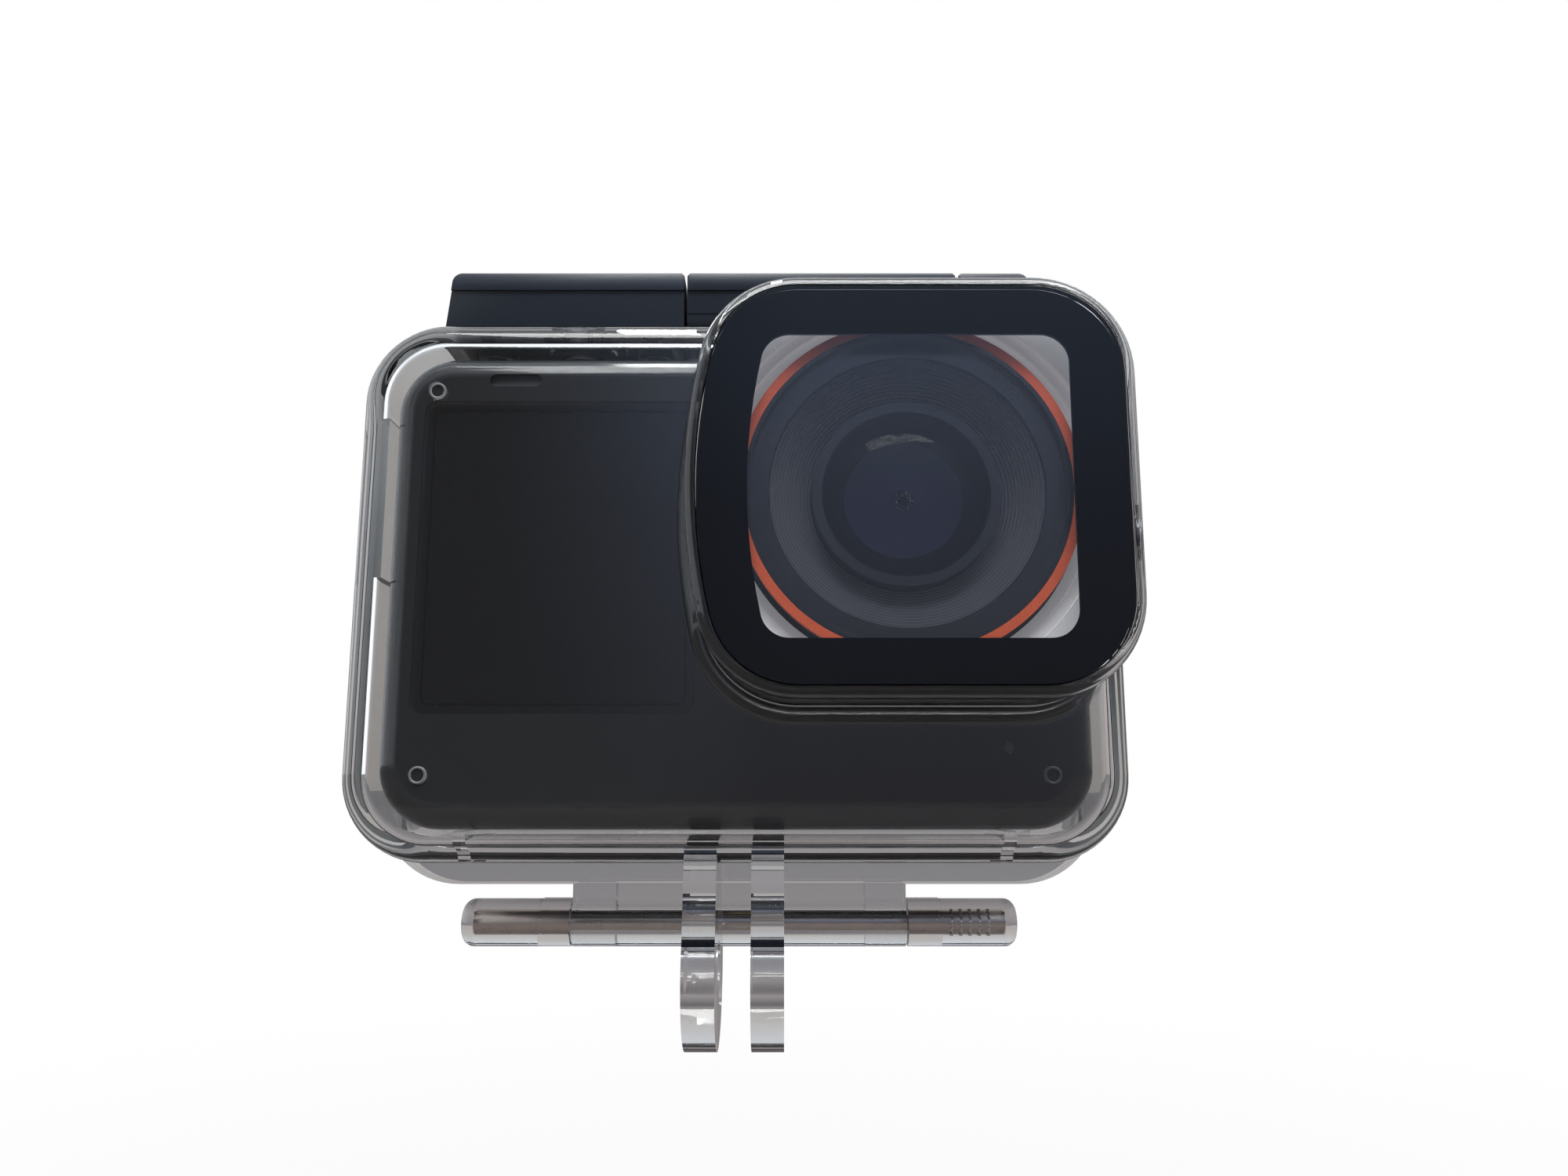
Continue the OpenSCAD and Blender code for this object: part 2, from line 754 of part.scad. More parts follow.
module shutter_plunger() {
    color("#a9adb1") translate([shutter_x, shutter_y, shutter_tip])
        plunger(shutter_len, shutter_clip_z - shutter_tip - 0.02);
}

module shutter_clip() {
    color("#8f9397") translate([shutter_x, shutter_y, shutter_clip_z]) clip();
}

module shutter_seal() {
    color("#17191b") difference() {
        rod_z(shutter_x, shutter_y, boss_top - seal_h, seal_h - 0.1, seal_r);
        rod_z(shutter_x, shutter_y, boss_top - seal_h - 1, seal_h + 2, plunger_r + 0.02);
    }
}

module shutter_spring() {
    floor_z = boss_top + 0.05;
    color("#c3c6c8") translate([shutter_x, shutter_y, floor_z])
        coil(plunger_r + wire_r + 0.15, wire_r, 2.05, 3);
}

// Side profile of the latch, in Y and Z, from its pin back to the hook behind the door's ridge
module latch_profile() {
    hook_out = hook_in + hook_t;
    under = case_top + ridge_h + 0.5;
    top_t = 1.6;
    polygon([
        [bar_front, latch_z], [bar_front, bar_top], [bar_back, bar_top],
        [hook_out, bar_top - 2.6], [hook_out, case_top + 0.3], [hook_in, case_top + 0.3],
        [hook_in, under], [bar_back - 2.6, under], [bar_back - 2.6, bar_top - top_t],
        [latch_y + latch_boss_r - 0.1, bar_top - top_t], [latch_y + latch_boss_r - 0.1, latch_z],
    ]);
}

module latch_block() {
    width = latch_x1 - latch_x0;
    sideways(latch_x0, width) latch_profile();
    rod_x(latch_x0, latch_y, latch_z, width, latch_boss_r);
    translate([latch_x0, bar_front - lip_proud, bar_top - lip_h]) cube([width, 1, lip_h]);
}

// Notch round an ear, open at the front so that the latch can swing up
module ear_notch(x) {
    notch_r = ear_r + 0.25;
    width = ear_t + 0.3;
    translate([x - 0.15, 0, 0]) {
        rod_x(0, latch_y, latch_z, width, notch_r);
        translate([0, bar_front - 1, case_top - 1])
            cube([width, latch_y + 1 - bar_front, latch_z - case_top + 1 + notch_r]);
        translate([0, latch_y, case_top - 1])
            cube([width, notch_r + 1, latch_z - case_top + 1]);
    }
}

module latch_lever() {
    color("#2c3240") difference() {
        latch_block();
        rod_x(latch_x0 - 1, latch_y, latch_z, latch_x1 - latch_x0 + 2, latch_pin_r + run_fit);
        for (x = ear_xs) ear_notch(x);
        // V-shaped cuts beside the splits
        for (x = [latch_x0, latch_x1]) translate([x, 0, bar_top]) rotate([0, 45, 0])
            cube([split_gap * 1.4, 60, split_gap * 1.4], center = true);
    }
}

module latch_pin() {
    color("#9a9ea2") rod_x(latch_x0 + 1, latch_y, latch_z, latch_x1 - latch_x0 - 2, latch_pin_r);
}

module latch_lock() {
    color("#2c3240") difference() {
        bar_block(split_b + split_gap / 2, bar_half, bar_bot, false, true);
        translate([pocket_x0, rail_y - 0.1, bar_bot - 1])
            cube([pocket_x1 - pocket_x0, rail_d + 0.2, case_top + rail_h + 0.2 - bar_bot + 1]);
    }
}

// ---------------------------------------------------------------- power button

power_tip = cam_r + key_gap;
power_clip_x = cav_r + clip_pocket_h - clip_t - 0.02;
cap_x0 = case_r + power_boss_h + cap_gap;

module power_plunger() {
    length = cap_x0 + cap_t - 0.6 - power_tip;
    color("#a9adb1") translate([power_tip, power_y, power_z]) rotate([0, 90, 0])
        plunger(length, power_clip_x - power_tip - 0.02);
}

module power_clip() {
    color("#8f9397") translate([power_clip_x, power_y, power_z]) rotate([0, 90, 0]) clip();
}

module power_seal() {
    length = seal_h - 0.1;
    x0 = case_r + power_boss_h - seal_h;
    color("#17191b") difference() {
        rod_x(x0, power_y, power_z, length, seal_r);
        rod_x(x0 - 1, power_y, power_z, length + 2, plunger_r + 0.02);
    }
}

module power_spring() {
    color("#c3c6c8") translate([case_r + power_boss_h + 0.05, power_y, power_z])
        rotate([0, 90, 0]) coil(plunger_r + wire_r + 0.15, wire_r, cap_gap + 0.55, 2);
}

module power_cap() {
    rim = 0.5;
    color("#2c3240") difference() {
        translate([cap_x0, power_y, power_z]) rotate([0, 90, 0]) rotate_extrude() {
            square([cap_r, cap_t - rim]);
            square([cap_r - rim, cap_t]);
            translate([cap_r - rim, cap_t - rim]) circle_quarter(rim);
        }
        rod_x(cap_x0 - 1, power_y, power_z, cap_t + 0.4, plunger_r);
        rod_x(cap_x0 - 1, power_y, power_z, 1.65, plunger_r + 1.0);
    }
}

// ---------------------------------------------------------------- camera covers

// Rods of radius r at the covers' four screws, from y for length l
module at_screws(y, l, r) {
    inset = cam_wall + 1.6;
    for (sx = [-1, 1], z = [cam_bot + inset, cam_top - inset])
        rod_y(sx * (cam_r - inset), z, y, l, r);
}

module camera_front_cover() {
    inner_r = cam_corner_r - cam_wall;
    color("#1b1d20") difference() {
        soft_plate(-cam_r, cam_bot, cam_w, cam_h, cam_corner_r, cam_front, front_cover_d,
            cam_edge_r);
        difference() {
            soft_plate(-cam_r + cam_wall, cam_bot + cam_wall, cam_w - 2 * cam_wall,
                cam_h - 2 * cam_wall, inner_r, cam_front + cam_wall, front_cover_d,
                cam_edge_r - cam_wall);
            at_screws(cam_front, front_cover_d, boss_screw_r);
        }
        at_screws(cam_seam - screw_bite, screw_bite + 1, screw_r);
        // Lens, display, microphone and lamp
        rod_y(lens_x, lens_z, cam_front - 1, cam_wall + 2, bore_in);
        plate(disp_x0, disp_z0, disp_w, disp_h, 1.2, cam_front - 1, 1 + disp_glass_t);
        plate(disp_x0 + 0.8, disp_z0 + 0.8, disp_w - 1.6, disp_h - 1.6, 0.8, cam_front - 1,
            cam_wall + 2);
        upright(cam_front - 1, cam_wall + 2) pill(pill_w, pill_h);
        rod_y(led_x, led_z, cam_front - 1, cam_wall + 2, led_r);
        key_hole_top();
        key_hole_side();
        side_door_cuts();
    }
}

module pill(w, h) {
    translate([pill_x, pill_z]) {
        square([w - h, h], center = true);
        for (s = [-1, 1]) translate([s * (w - h) / 2, 0]) circle(h / 2);
    }
}

module key_hole_top() {
    rod_z(shutter_x, shutter_y, cam_top - cam_wall - 1, cam_wall + 2, key_r + key_fit);
}

module key_hole_side() {
    rod_x(cam_r - cam_wall - 1, power_y, power_z, cam_wall + 2, key_r * 0.7 + key_fit);
}

// Openings in the camera's sides: distance behind its face, height, depth and tallness.
// The battery door is on the left, and the port cover on the right.
battery_door_at = [2.9, cam_bot + 4.5, cam_d - 5.8, cam_h - 9];
port_cover_at = [4.5, cam_bot + 6, cam_d - 9, 13];

// Flat panel on the left side, smaller by fit all round, from x for thickness l
module side_panel(at, fit, x, l) {
    translate([x, cam_front + at[0] + fit, at[1] + fit])
        cube([l, at[2] - 2 * fit, at[3] - 2 * fit]);
}

// Each panel sits on a narrow ledge
module side_door_cuts() {
    for (side = [0, 1]) mirror([side, 0, 0]) {
        at = side == 0 ? battery_door_at : port_cover_at;
        side_panel(at, 0, -cam_r - 1, side_door_t + 1);
        side_panel(at, 0.8, -cam_r - 1, cam_wall + 2);
    }
}

module camera_rear_cover() {
    inner_r = cam_corner_r - cam_wall;
    depth = cam_back - cam_seam - 0.02;
    color("#232528") difference() {
        soft_plate_back(-cam_r, cam_bot, cam_w, cam_h, cam_corner_r, cam_back, depth,
            cam_edge_r);
        difference() {
            soft_plate_back(-cam_r + cam_wall, cam_bot + cam_wall, cam_w - 2 * cam_wall,
                cam_h - 2 * cam_wall, inner_r, cam_back - cam_wall, depth,
                cam_edge_r - cam_wall);
            at_screws(cam_seam, screw_bite, boss_screw_r);
        }
        at_screws(cam_seam - 1, screw_bite + 1, screw_r);
        plate(-screen_w / 2, cam_bot + (cam_h - screen_h) / 2, screen_w, screen_h, 1.5,
            cam_back - screen_glass_t, 2);
        plate(1 - screen_w / 2, cam_bot + (cam_h - screen_h) / 2 + 1, screen_w - 2,
            screen_h - 2, 1, cam_back - cam_wall - 1, 3);
        key_hole_top();
        key_hole_side();
        side_door_cuts();
        rod_z(0, tripod_y, cam_bot - 1, cam_wall + 2, 3.4);
        speaker_holes();
    }
}

tripod_y = cam_seam + 6.4;

module speaker_holes() {
    for (i = [-2:2]) translate([-12 + i * 1.6, cam_seam + 6, cam_bot - 1])
        cube([0.8, 3, cam_wall + 2], center = false);
}

module camera_chassis() {
    fit = cam_wall + 0.1;
    frame_y = cam_seam - 1.2;
    color("#8c9196") difference() {
        plate(-cam_r + fit, cam_bot + fit, cam_w - 2 * fit, cam_h - 2 * fit,
            cam_corner_r - fit, frame_y, 1.1);
        // Windows for the battery and for the lens, and cuts for the keys' switches
        translate([-cam_r - 1, frame_y - 1, battery_z0 - 0.5])
            cube([battery_x0 + battery_w + 1 + cam_r + 1, 4, battery_h + 1]);
        rod_y(lens_x, lens_z, frame_y - 1, 4, cell_r + 0.3);
        at_screws(frame_y - 1, 4, boss_screw_r + 0.15);
        translate([shutter_x - key_r - 0.5, frame_y - 1, cam_top - cam_wall - 4])
            cube([2 * key_r + 1, 4, 5]);
        translate([cam_r - cam_wall - 4, frame_y - 1, port_cover_at[1]])
            cube([5, 4, power_z + key_r - port_cover_at[1]]);
    }
}

module battery_door() {
    color("#1e2023") side_panel(battery_door_at, 0.08, -cam_r, side_door_t - 0.02);
}

module port_cover() {
    color("#26282b") mirror([1, 0, 0])
        side_panel(port_cover_at, 0.08, -cam_r, side_door_t - 0.02);
}

// ---------------------------------------------------------------- display and small parts

module front_display_glass() {
    fit = 0.05;
    color("#26292e", 0.8) plate(disp_x0 + fit, disp_z0 + fit, disp_w - 2 * fit,
        disp_h - 2 * fit, 1.2 - fit, cam_front, disp_glass_t - 0.02);
}

module front_display() {
    color("#0f1114") plate(disp_x0 + 1, disp_z0 + 1, disp_w - 2, disp_h - 2, 0.6,
        cam_front + disp_glass_t, disp_panel_t);
}

module rear_screen_glass() {
    fit = 0.05;
    color("#15171a") plate(fit - screen_w / 2, cam_bot + (cam_h - screen_h) / 2 + fit,
        screen_w - 2 * fit, screen_h - 2 * fit, 1.5 - fit, cam_back - screen_glass_t + 0.02,
        screen_glass_t - 0.02);
}

module rear_screen() {
    color("#0f1114") plate(1.2 - screen_w / 2, cam_bot + (cam_h - screen_h) / 2 + 1.2,
        screen_w - 2.4, screen_h - 2.4, 0.6, cam_back - screen_glass_t - 1.8, 1.8);
}

module microphone() {
    color("#6f757b") upright(cam_front + 0.5, 0.6) pill(pill_w - 0.1, pill_h - 0.1);
}

module status_led() {
    color("#3a3f45") rod_y(led_x, led_z, cam_front + 0.05, cam_wall + 0.4, led_r - 0.03);
}

module speaker() {
    color("#3c3f42") translate([-16.6, cam_seam + 3.2, cam_bot + cam_wall + 0.05])
        cube([9.4, 6.0, 2.6]);
}

module tripod_nut() {
    color("#b08d4a") difference() {
        rod_z(0, tripod_y, cam_bot + 0.1, 5.2, 3.3);
        rod_z(0, tripod_y, cam_bot - 1, 5.4, 2.55);
    }
}

module camera_screws() {
    color("#55585c") at_screws(cam_seam - screw_bite, 2 * screw_bite, screw_r);
}

// ---------------------------------------------------------------- lens

module lens_barrel() {
    step_r = baffle_r + 1.2;
    color("#131518") difference() {
        union() {
            rod_y(lens_x, lens_z, barrel_front, cam_front - barrel_front, barrel_r);
            rod_y(lens_x, lens_z, cam_front, cam_wall + 0.2, bore_in - 0.05);
        }
        // Recesses for the ring, the cover glass and the baffle, then the lens cell
        lens_ring(barrel_front - 1, 1.8, barrel_r + 1, barrel_r - ring_w);
        rod_y(lens_x, lens_z, barrel_front - 1, cover_glass_y + cover_glass_t + 1 - barrel_front,
            barrel_r - ring_w - 0.4);
        rod_y(lens_x, lens_z, barrel_front, bezel_back - barrel_front, step_r);
        rod_y(lens_x, lens_z, bezel_back - 0.1, baffle_d + 0.1, baffle_r);
        rod_y(lens_x, lens_z, bezel_back, cam_front + 5 - bezel_back, cell_r + 0.05);
    }
}

module lens_orange_ring() {
    color("#e14b23") lens_ring(barrel_front, 0.8, barrel_r, barrel_r - ring_w);
}

module lens_cover_glass() {
    color("#20242a", 0.3)
        rod_y(lens_x, lens_z, cover_glass_y, cover_glass_t, barrel_r - ring_w - 0.45);
}

module lens_bezel() {
    color("#0d0e10") lens_ring(cover_glass_y + cover_glass_t, 0.48, baffle_r + 1.15, baffle_r);
}

// Cone of fine steps that kills stray light
module lens_baffle() {
    mouth = baffle_r - 0.05;
    throat = cell_r + 0.1;
    step_r = (mouth - 0.3 - throat) / baffle_steps;
    step_y = (baffle_d - 0.3) / baffle_steps;
    color("#3c3d44") lens_turn(bezel_back) difference() {
        translate([throat, 0]) square([mouth - throat, baffle_d - 0.05]);
        for (i = [0:baffle_steps - 1])
            translate([0, -1]) square([mouth - 0.3 - i * step_r, 1 + (i + 1) * step_y]);
    }
}

module lens_cell() {
    color("#101114") difference() {
        rod_y(lens_x, lens_z, bezel_back + 0.6, cell_back - bezel_back - 0.6, cell_r);
        rod_y(lens_x, lens_z, bezel_back, element_seat, element_r + 0.05);
        rod_y(lens_x, lens_z, bezel_back, cell_back - bezel_back + 1, stop_bore);
        rod_y(lens_x, lens_z, bezel_back + rear_seat - 0.1, cell_back - bezel_back,
            rear_r + 0.05);
    }
}

module lens_front_element() {
    bulge = 1.9;
    sphere_r = (pow(element_r, 2) + pow(bulge, 2)) / (2 * bulge);
    front = bezel_back + 0.5;
    color("#1d2130", 0.5) lens_turn(front) intersection() {
        square([element_r, bulge + 1.2]);
        translate([0, sphere_r]) circle(sphere_r, $fn = 240);
    }
}

// Stop with a small round opening, behind the front element
module lens_iris() {
    color("#0b0c0e")
        lens_ring(bezel_back + element_seat + 0.05, iris_t, stop_bore - 0.05, iris_r);
}

module lens_rear_elements() {
    for (i = [0, 1])
        color("#2a3040", 0.5)
            rod_y(lens_x, lens_z, bezel_back + rear_seat + i * rear_pitch, rear_t, rear_r);
}

module image_sensor() {
    color("#2f4a3c") translate([lens_x - 5, cell_back + 0.3, lens_z - 4]) cube([10, 1.2, 8]);
}

module sensor_board() {
    color("#1f5a3a") translate([lens_x - 9, cell_back + 1.5, lens_z - 8]) cube([18, 0.7, 16]);
}

module main_board() {
    color("#1c5236") translate([1.5, board_y, cam_bot + 6.5])
        cube([cam_r - 7, board_t, cam_h - 13]);
}

module battery() {
    color("#3a3d41") plate(battery_x0, battery_z0, battery_w, battery_h, 1.2, battery_y,
        battery_d);
}

module battery_contacts() {
    color("#c8a456") for (i = [0:2])
        translate([battery_x0 + battery_w, battery_y + 2.2 + i * 2, battery_z0 + 4])
            cube([0.7, 1.2, 5]);
}

// Socket behind a side panel: a box of size (l, d, h) with a mouth towards the panel
module socket(x, y, z, l, d, h, shell) {
    difference() {
        translate([x, y, z]) cube([l, d, h]);
        translate([x - 1, y + shell, z + shell])
            cube([l + 1 - shell, d - 2 * shell, h - 2 * shell]);
    }
}

module usb_port() {
    color("#9fa3a7") mirror([1, 0, 0]) socket(-cam_r + side_door_t + 0.1,
        board_y + board_t + 0.05, port_cover_at[1] + 2, 6.5, 3.2, 9, 0.4);
}

card_slot_x = -cam_r + side_door_t + 0.1;
card_slot_y = battery_y + battery_d + 0.2;
card_slot_z = cam_bot + 7;

module card_slot() {
    color("#8e9296") socket(card_slot_x, card_slot_y, card_slot_z, 14.6, 1.9, 13, 0.4);
}

module memory_card() {
    color("#141619") translate([card_slot_x + 0.2, card_slot_y + 0.45, card_slot_z + 1])
        cube([13.8, 1.0, 11]);
}

module camera_shutter_key() {
    color("#1f2225") rod_z(shutter_x, shutter_y, cam_top - key_t, key_t, key_r);
}

module camera_power_key() {
    color("#1f2225") rod_x(cam_r - key_t, power_y, power_z, key_t, key_r * 0.7);
}

module key_switches() {
    drop = key_t + btn_travel + 0.1;
    color("#77797c") {
        rod_z(shutter_x, shutter_y, cam_top - drop - 0.7, 0.7, 2.4);
        rod_x(cam_r - drop - 0.7, power_y, power_z, 0.7, 2.4);
    }
}

front_shell();
mount_fork();
port_window();
port_mask();
port_seal();
lens_port_ring();
rear_door();
door_gasket();
hinge_pin();
latch_lever();
latch_pin();
latch_lock();
shutter_pad();
shutter_plunger();
shutter_spring();
shutter_seal();
shutter_clip();
power_cap();
power_plunger();
power_spring();
power_seal();
power_clip();
camera_front_cover();
camera_rear_cover();
camera_chassis();
front_display_glass();
front_display();
lens_barrel();
lens_orange_ring();
lens_cover_glass();
lens_bezel();
lens_baffle();
lens_front_element();
lens_iris();
lens_rear_elements();
lens_cell();
image_sensor();
sensor_board();
main_board();
battery();
battery_contacts();
battery_door();
port_cover();
usb_port();
card_slot();
memory_card();
rear_screen_glass();
rear_screen();
speaker();
microphone();
status_led();
camera_shutter_key();
camera_power_key();
key_switches();
tripod_nut();
camera_screws();
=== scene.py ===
# %% [markdown]
# # An action camera in its clear dive case
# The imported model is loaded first, and every piece is placed from its boxes. Lengths below are in
# millimetres for easy reading, and multiplying by `MM` turns them into Blender's metres.

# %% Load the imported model
import json
from math import asin, cos, pi, radians, sin, tau

import bmesh
import bpy
from mathutils import Matrix, Vector


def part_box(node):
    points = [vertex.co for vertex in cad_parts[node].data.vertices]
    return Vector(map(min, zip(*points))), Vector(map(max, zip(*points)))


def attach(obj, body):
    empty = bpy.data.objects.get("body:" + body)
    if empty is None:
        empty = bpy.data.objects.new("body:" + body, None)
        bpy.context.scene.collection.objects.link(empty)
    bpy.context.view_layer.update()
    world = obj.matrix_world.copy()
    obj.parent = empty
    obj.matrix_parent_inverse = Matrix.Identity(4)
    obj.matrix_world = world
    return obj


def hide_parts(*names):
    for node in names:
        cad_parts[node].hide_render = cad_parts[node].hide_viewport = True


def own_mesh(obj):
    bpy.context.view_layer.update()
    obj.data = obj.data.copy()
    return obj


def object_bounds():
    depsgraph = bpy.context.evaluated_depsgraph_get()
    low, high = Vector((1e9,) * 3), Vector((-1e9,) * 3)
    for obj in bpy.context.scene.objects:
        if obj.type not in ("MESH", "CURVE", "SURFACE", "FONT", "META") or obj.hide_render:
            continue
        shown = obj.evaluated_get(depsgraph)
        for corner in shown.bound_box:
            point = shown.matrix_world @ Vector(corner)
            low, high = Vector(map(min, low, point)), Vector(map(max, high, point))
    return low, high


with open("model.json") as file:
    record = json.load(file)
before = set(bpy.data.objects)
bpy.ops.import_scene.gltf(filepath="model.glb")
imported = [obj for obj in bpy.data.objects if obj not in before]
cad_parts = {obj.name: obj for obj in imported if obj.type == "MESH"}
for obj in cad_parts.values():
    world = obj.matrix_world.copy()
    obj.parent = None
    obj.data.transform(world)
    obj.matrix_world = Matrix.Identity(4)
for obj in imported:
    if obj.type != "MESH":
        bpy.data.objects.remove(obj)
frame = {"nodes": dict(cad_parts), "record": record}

MM = 0.001
cad_bounds = [list(corner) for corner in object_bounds()]
nodes = frame["nodes"]
body_of = {name: body for body, names in frame["record"]["behaviour"]["bodies"].items() for name in names}
slot_of = {entry["node"]: entry["material_slot"] for entry in frame["record"]["subparts"]}


def box_mm(node):
    """A node's lowest and highest corners, in millimetres."""
    low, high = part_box(node)
    return low / MM, high / MM


print(len(nodes), "nodes; box in mm:", [[round(x / MM, 1) for x in corner] for corner in cad_bounds])

# %% [markdown]
# ## The view
# The eye is close to the front of the case, below its middle, with a wide lens tipped up by ten
# degrees. The port stands nearest to it, and that is what makes the port look so large.

# %% Camera
eye = bpy.data.objects.new("eye", bpy.data.cameras.new("eye"))
bpy.context.scene.collection.objects.link(eye)
eye.location = Vector((4.59, -114.67, 16.29)) * MM
eye.rotation_euler = (radians(100), 0, 0)
eye.data.sensor_width = 36
eye.data.lens = 26.66
eye.data.clip_start = 1 * MM
bpy.context.scene.camera = eye
print("camera at", [round(x / MM) for x in eye.location], "mm, lens", eye.data.lens)

# %% [markdown]
# ## Writing materials as expressions
# A shader is a graph of nodes. `Value` wraps one socket so that ordinary arithmetic adds the Math
# nodes, and `Paint.node` adds any other node: its settings first, then its sockets.

# %% The shader helper
class Value:
    """One output socket of a shader graph. Arithmetic on it adds Math nodes."""

    def __init__(self, paint, socket):
        self.paint, self.socket = paint, socket

    def _math(self, operation, a, b):
        return self.paint.node("ShaderNodeMath", {"operation": operation}, {0: a, 1: b})

    def __add__(self, other):
        return self._math("ADD", self, other)

    def __radd__(self, other):
        return self._math("ADD", other, self)

    def __sub__(self, other):
        return self._math("SUBTRACT", self, other)

    def __rsub__(self, other):
        return self._math("SUBTRACT", other, self)

    def __mul__(self, other):
        return self._math("MULTIPLY", self, other)

    def __rmul__(self, other):
        return self._math("MULTIPLY", other, self)

    def above(self, other):
        return self._math("GREATER_THAN", self, other)

    def wave(self):
        return self.paint.node("ShaderNodeMath", {"operation": "SINE"}, {0: self})

    def root(self):
        return self.paint.node("ShaderNodeMath", {"operation": "SQRT"}, {0: self})


class Paint:
    """A node graph of a material or of the world."""

    def __init__(self, owner):
        self.owner = owner
        owner.use_nodes = True
        self.tree = owner.node_tree
        self.tree.nodes.clear()

    def node(self, kind, settings=None, values=None, output=0):
        made = self.tree.nodes.new(kind)
        for name, setting in (settings or {}).items():
            if name == "stops":
                ramp = made.color_ramp
                while len(ramp.elements) < len(setting):
                    ramp.elements.new(0.5)
                for element, (place, colour) in zip(ramp.elements, setting):
                    element.position, element.color = place, (*colour, 1)
            else:
                setattr(made, name, setting)
        for name, value in (values or {}).items():
            if isinstance(value, Value):
                self.tree.links.new(value.socket, made.inputs[name])
            else:
                made.inputs[name].default_value = value
        return Value(self, made.outputs[output]) if made.outputs else None

    def place(self):
        """Object coordinates, in metres."""
        return self.node("ShaderNodeTexCoord", output=3)

    def part(self, vector, index):
        return self.node("ShaderNodeSeparateXYZ", values={0: vector}, output=index)

    def noise(self, per_mm, detail=3.0, rough=0.55):
        values = {"Vector": self.place(), "Scale": per_mm / MM, "Detail": detail, "Roughness": rough}
        return self.node("ShaderNodeTexNoise", values=values)

    def mix(self, factor, a, b):
        """Colour a where factor is 0, and b where it is 1."""
        a, b = [colour if isinstance(colour, Value) else (*colour, 1) for colour in (a, b)]
        return self.node("ShaderNodeMix", {"data_type": "RGBA"}, {0: factor, 6: a, 7: b}, output=2)

    def bump(self, height, strength, depth_mm):
        values = {"Height": height, "Strength": strength, "Distance": depth_mm * MM}
        return self.node("ShaderNodeBump", values=values)

    def principled(self, **values):
        """A Principled shader. Socket names are written with underscores, and colours as triples."""
        named = {}
        for name, value in values.items():
            if isinstance(value, tuple):
                value = (*value, 1)
            named[name.replace("_", " ")] = value
        return self.node("ShaderNodeBsdfPrincipled", values=named)

    def output(self, shader):
        world = isinstance(self.owner, bpy.types.World)
        kind = "ShaderNodeOutputWorld" if world else "ShaderNodeOutputMaterial"
        self.node(kind, values={"Surface": shader})
        return self.owner


def new_paint(name):
    return Paint(bpy.data.materials.new(name))


# %% [markdown]
# ## Clear polycarbonate
# The case is injection moulded in clear polycarbonate, polished like glass. Its index of refraction
# is set to 1.5, a little under the real 1.58. Its bright and dark outlines aren't drawn: they are
# refraction in walls of real thickness. A lamp's ray would be stopped by such a wall, so shadow rays
# pass a Transparent shader.

# %% Clear plastic
def clear_plastic(name, tint, haze=0.012):
    paint = new_paint(name)
    ripple = paint.noise(0.11, detail=2.0)
    smears = paint.noise(0.35, detail=6.0, rough=0.7)
    glass = paint.principled(
        Base_Color=tint, Roughness=haze + 0.03 * (smears - 0.52).above(0.0) * (smears - 0.52), IOR=1.5,
        Transmission_Weight=1.0, Normal=paint.bump(ripple, 0.03, 0.3))
    lamp = paint.node("ShaderNodeLightPath", output=1)
    open_way = paint.node("ShaderNodeBsdfTransparent", values={"Color": (*tint, 1)})
    return paint.output(paint.node("ShaderNodeMixShader", values={0: lamp, 1: glass, 2: open_way}))


finishes = {
    "clear_case": clear_plastic("clear_case", (0.955, 0.965, 0.968)),
    "clear_window": clear_plastic("clear_window", (0.985, 0.99, 0.992), haze=0.004),
}
print("clear plastics:", sorted(finishes))

# %% [markdown]
# ## Moulded black plastics
# Three blacks tell the parts apart: gloss on the camera's face, satin on its back and on the bar of
# controls, and print behind the window. A fine grain in bump and a slow drift in roughness keep each
# from looking like flat paint.

# %% Blacks
def moulded(name, colour, rough, grain_per_mm, grain, drift=0.08, coat=0.0):
    paint = new_paint(name)
    cloud = paint.noise(0.09, detail=4.0)
    height = paint.noise(grain_per_mm, detail=2.0)
    lighter = tuple(min(1.0, c * 1.5 + 0.002) for c in colour)
    return paint.output(paint.principled(
        Base_Color=paint.mix(cloud, colour, lighter), Roughness=rough + drift * cloud,
        Coat_Weight=coat, Coat_Roughness=0.04, Normal=paint.bump(height, grain, 0.02)))


finishes["latch_black"] = moulded("latch_black", (0.012, 0.017, 0.026), 0.27, 5.0, 0.3, drift=0.12)
finishes["body_gloss"] = moulded("body_gloss", (0.020, 0.0205, 0.0225), 0.07, 0.6, 0.015, drift=0.04)
finishes["iris_black"] = moulded("iris_black", (0.004, 0.004, 0.0045), 0.45, 1.0, 0.01)
finishes["body_satin"] = moulded("body_satin", (0.013, 0.013, 0.014), 0.38, 10.0, 0.5)
finishes["key_black"] = moulded("key_black", (0.02, 0.02, 0.022), 0.42, 8.0, 0.4)
finishes["card_black"] = moulded("card_black", (0.012, 0.012, 0.013), 0.45, 8.0, 0.3)
finishes["battery_grey"] = moulded("battery_grey", (0.06, 0.062, 0.066), 0.5, 5.0, 0.3)
finishes["barrel_black"] = moulded("barrel_black", (0.0055, 0.0058, 0.0068), 0.14, 0.6, 0.01)
finishes["display_panel"] = moulded("display_panel", (0.007, 0.0072, 0.0085), 0.2, 0.6, 0.01)
finishes["seal_rubber"] = moulded("seal_rubber", (0.012, 0.012, 0.013), 0.6, 6.0, 0.4)
finishes["mesh_grey"] = moulded("mesh_grey", (0.055, 0.058, 0.066), 0.6, 6.0, 0.8)
finishes["led_smoke"] = moulded("led_smoke", (0.03, 0.032, 0.038), 0.12, 3.0, 0.02, coat=1.0)


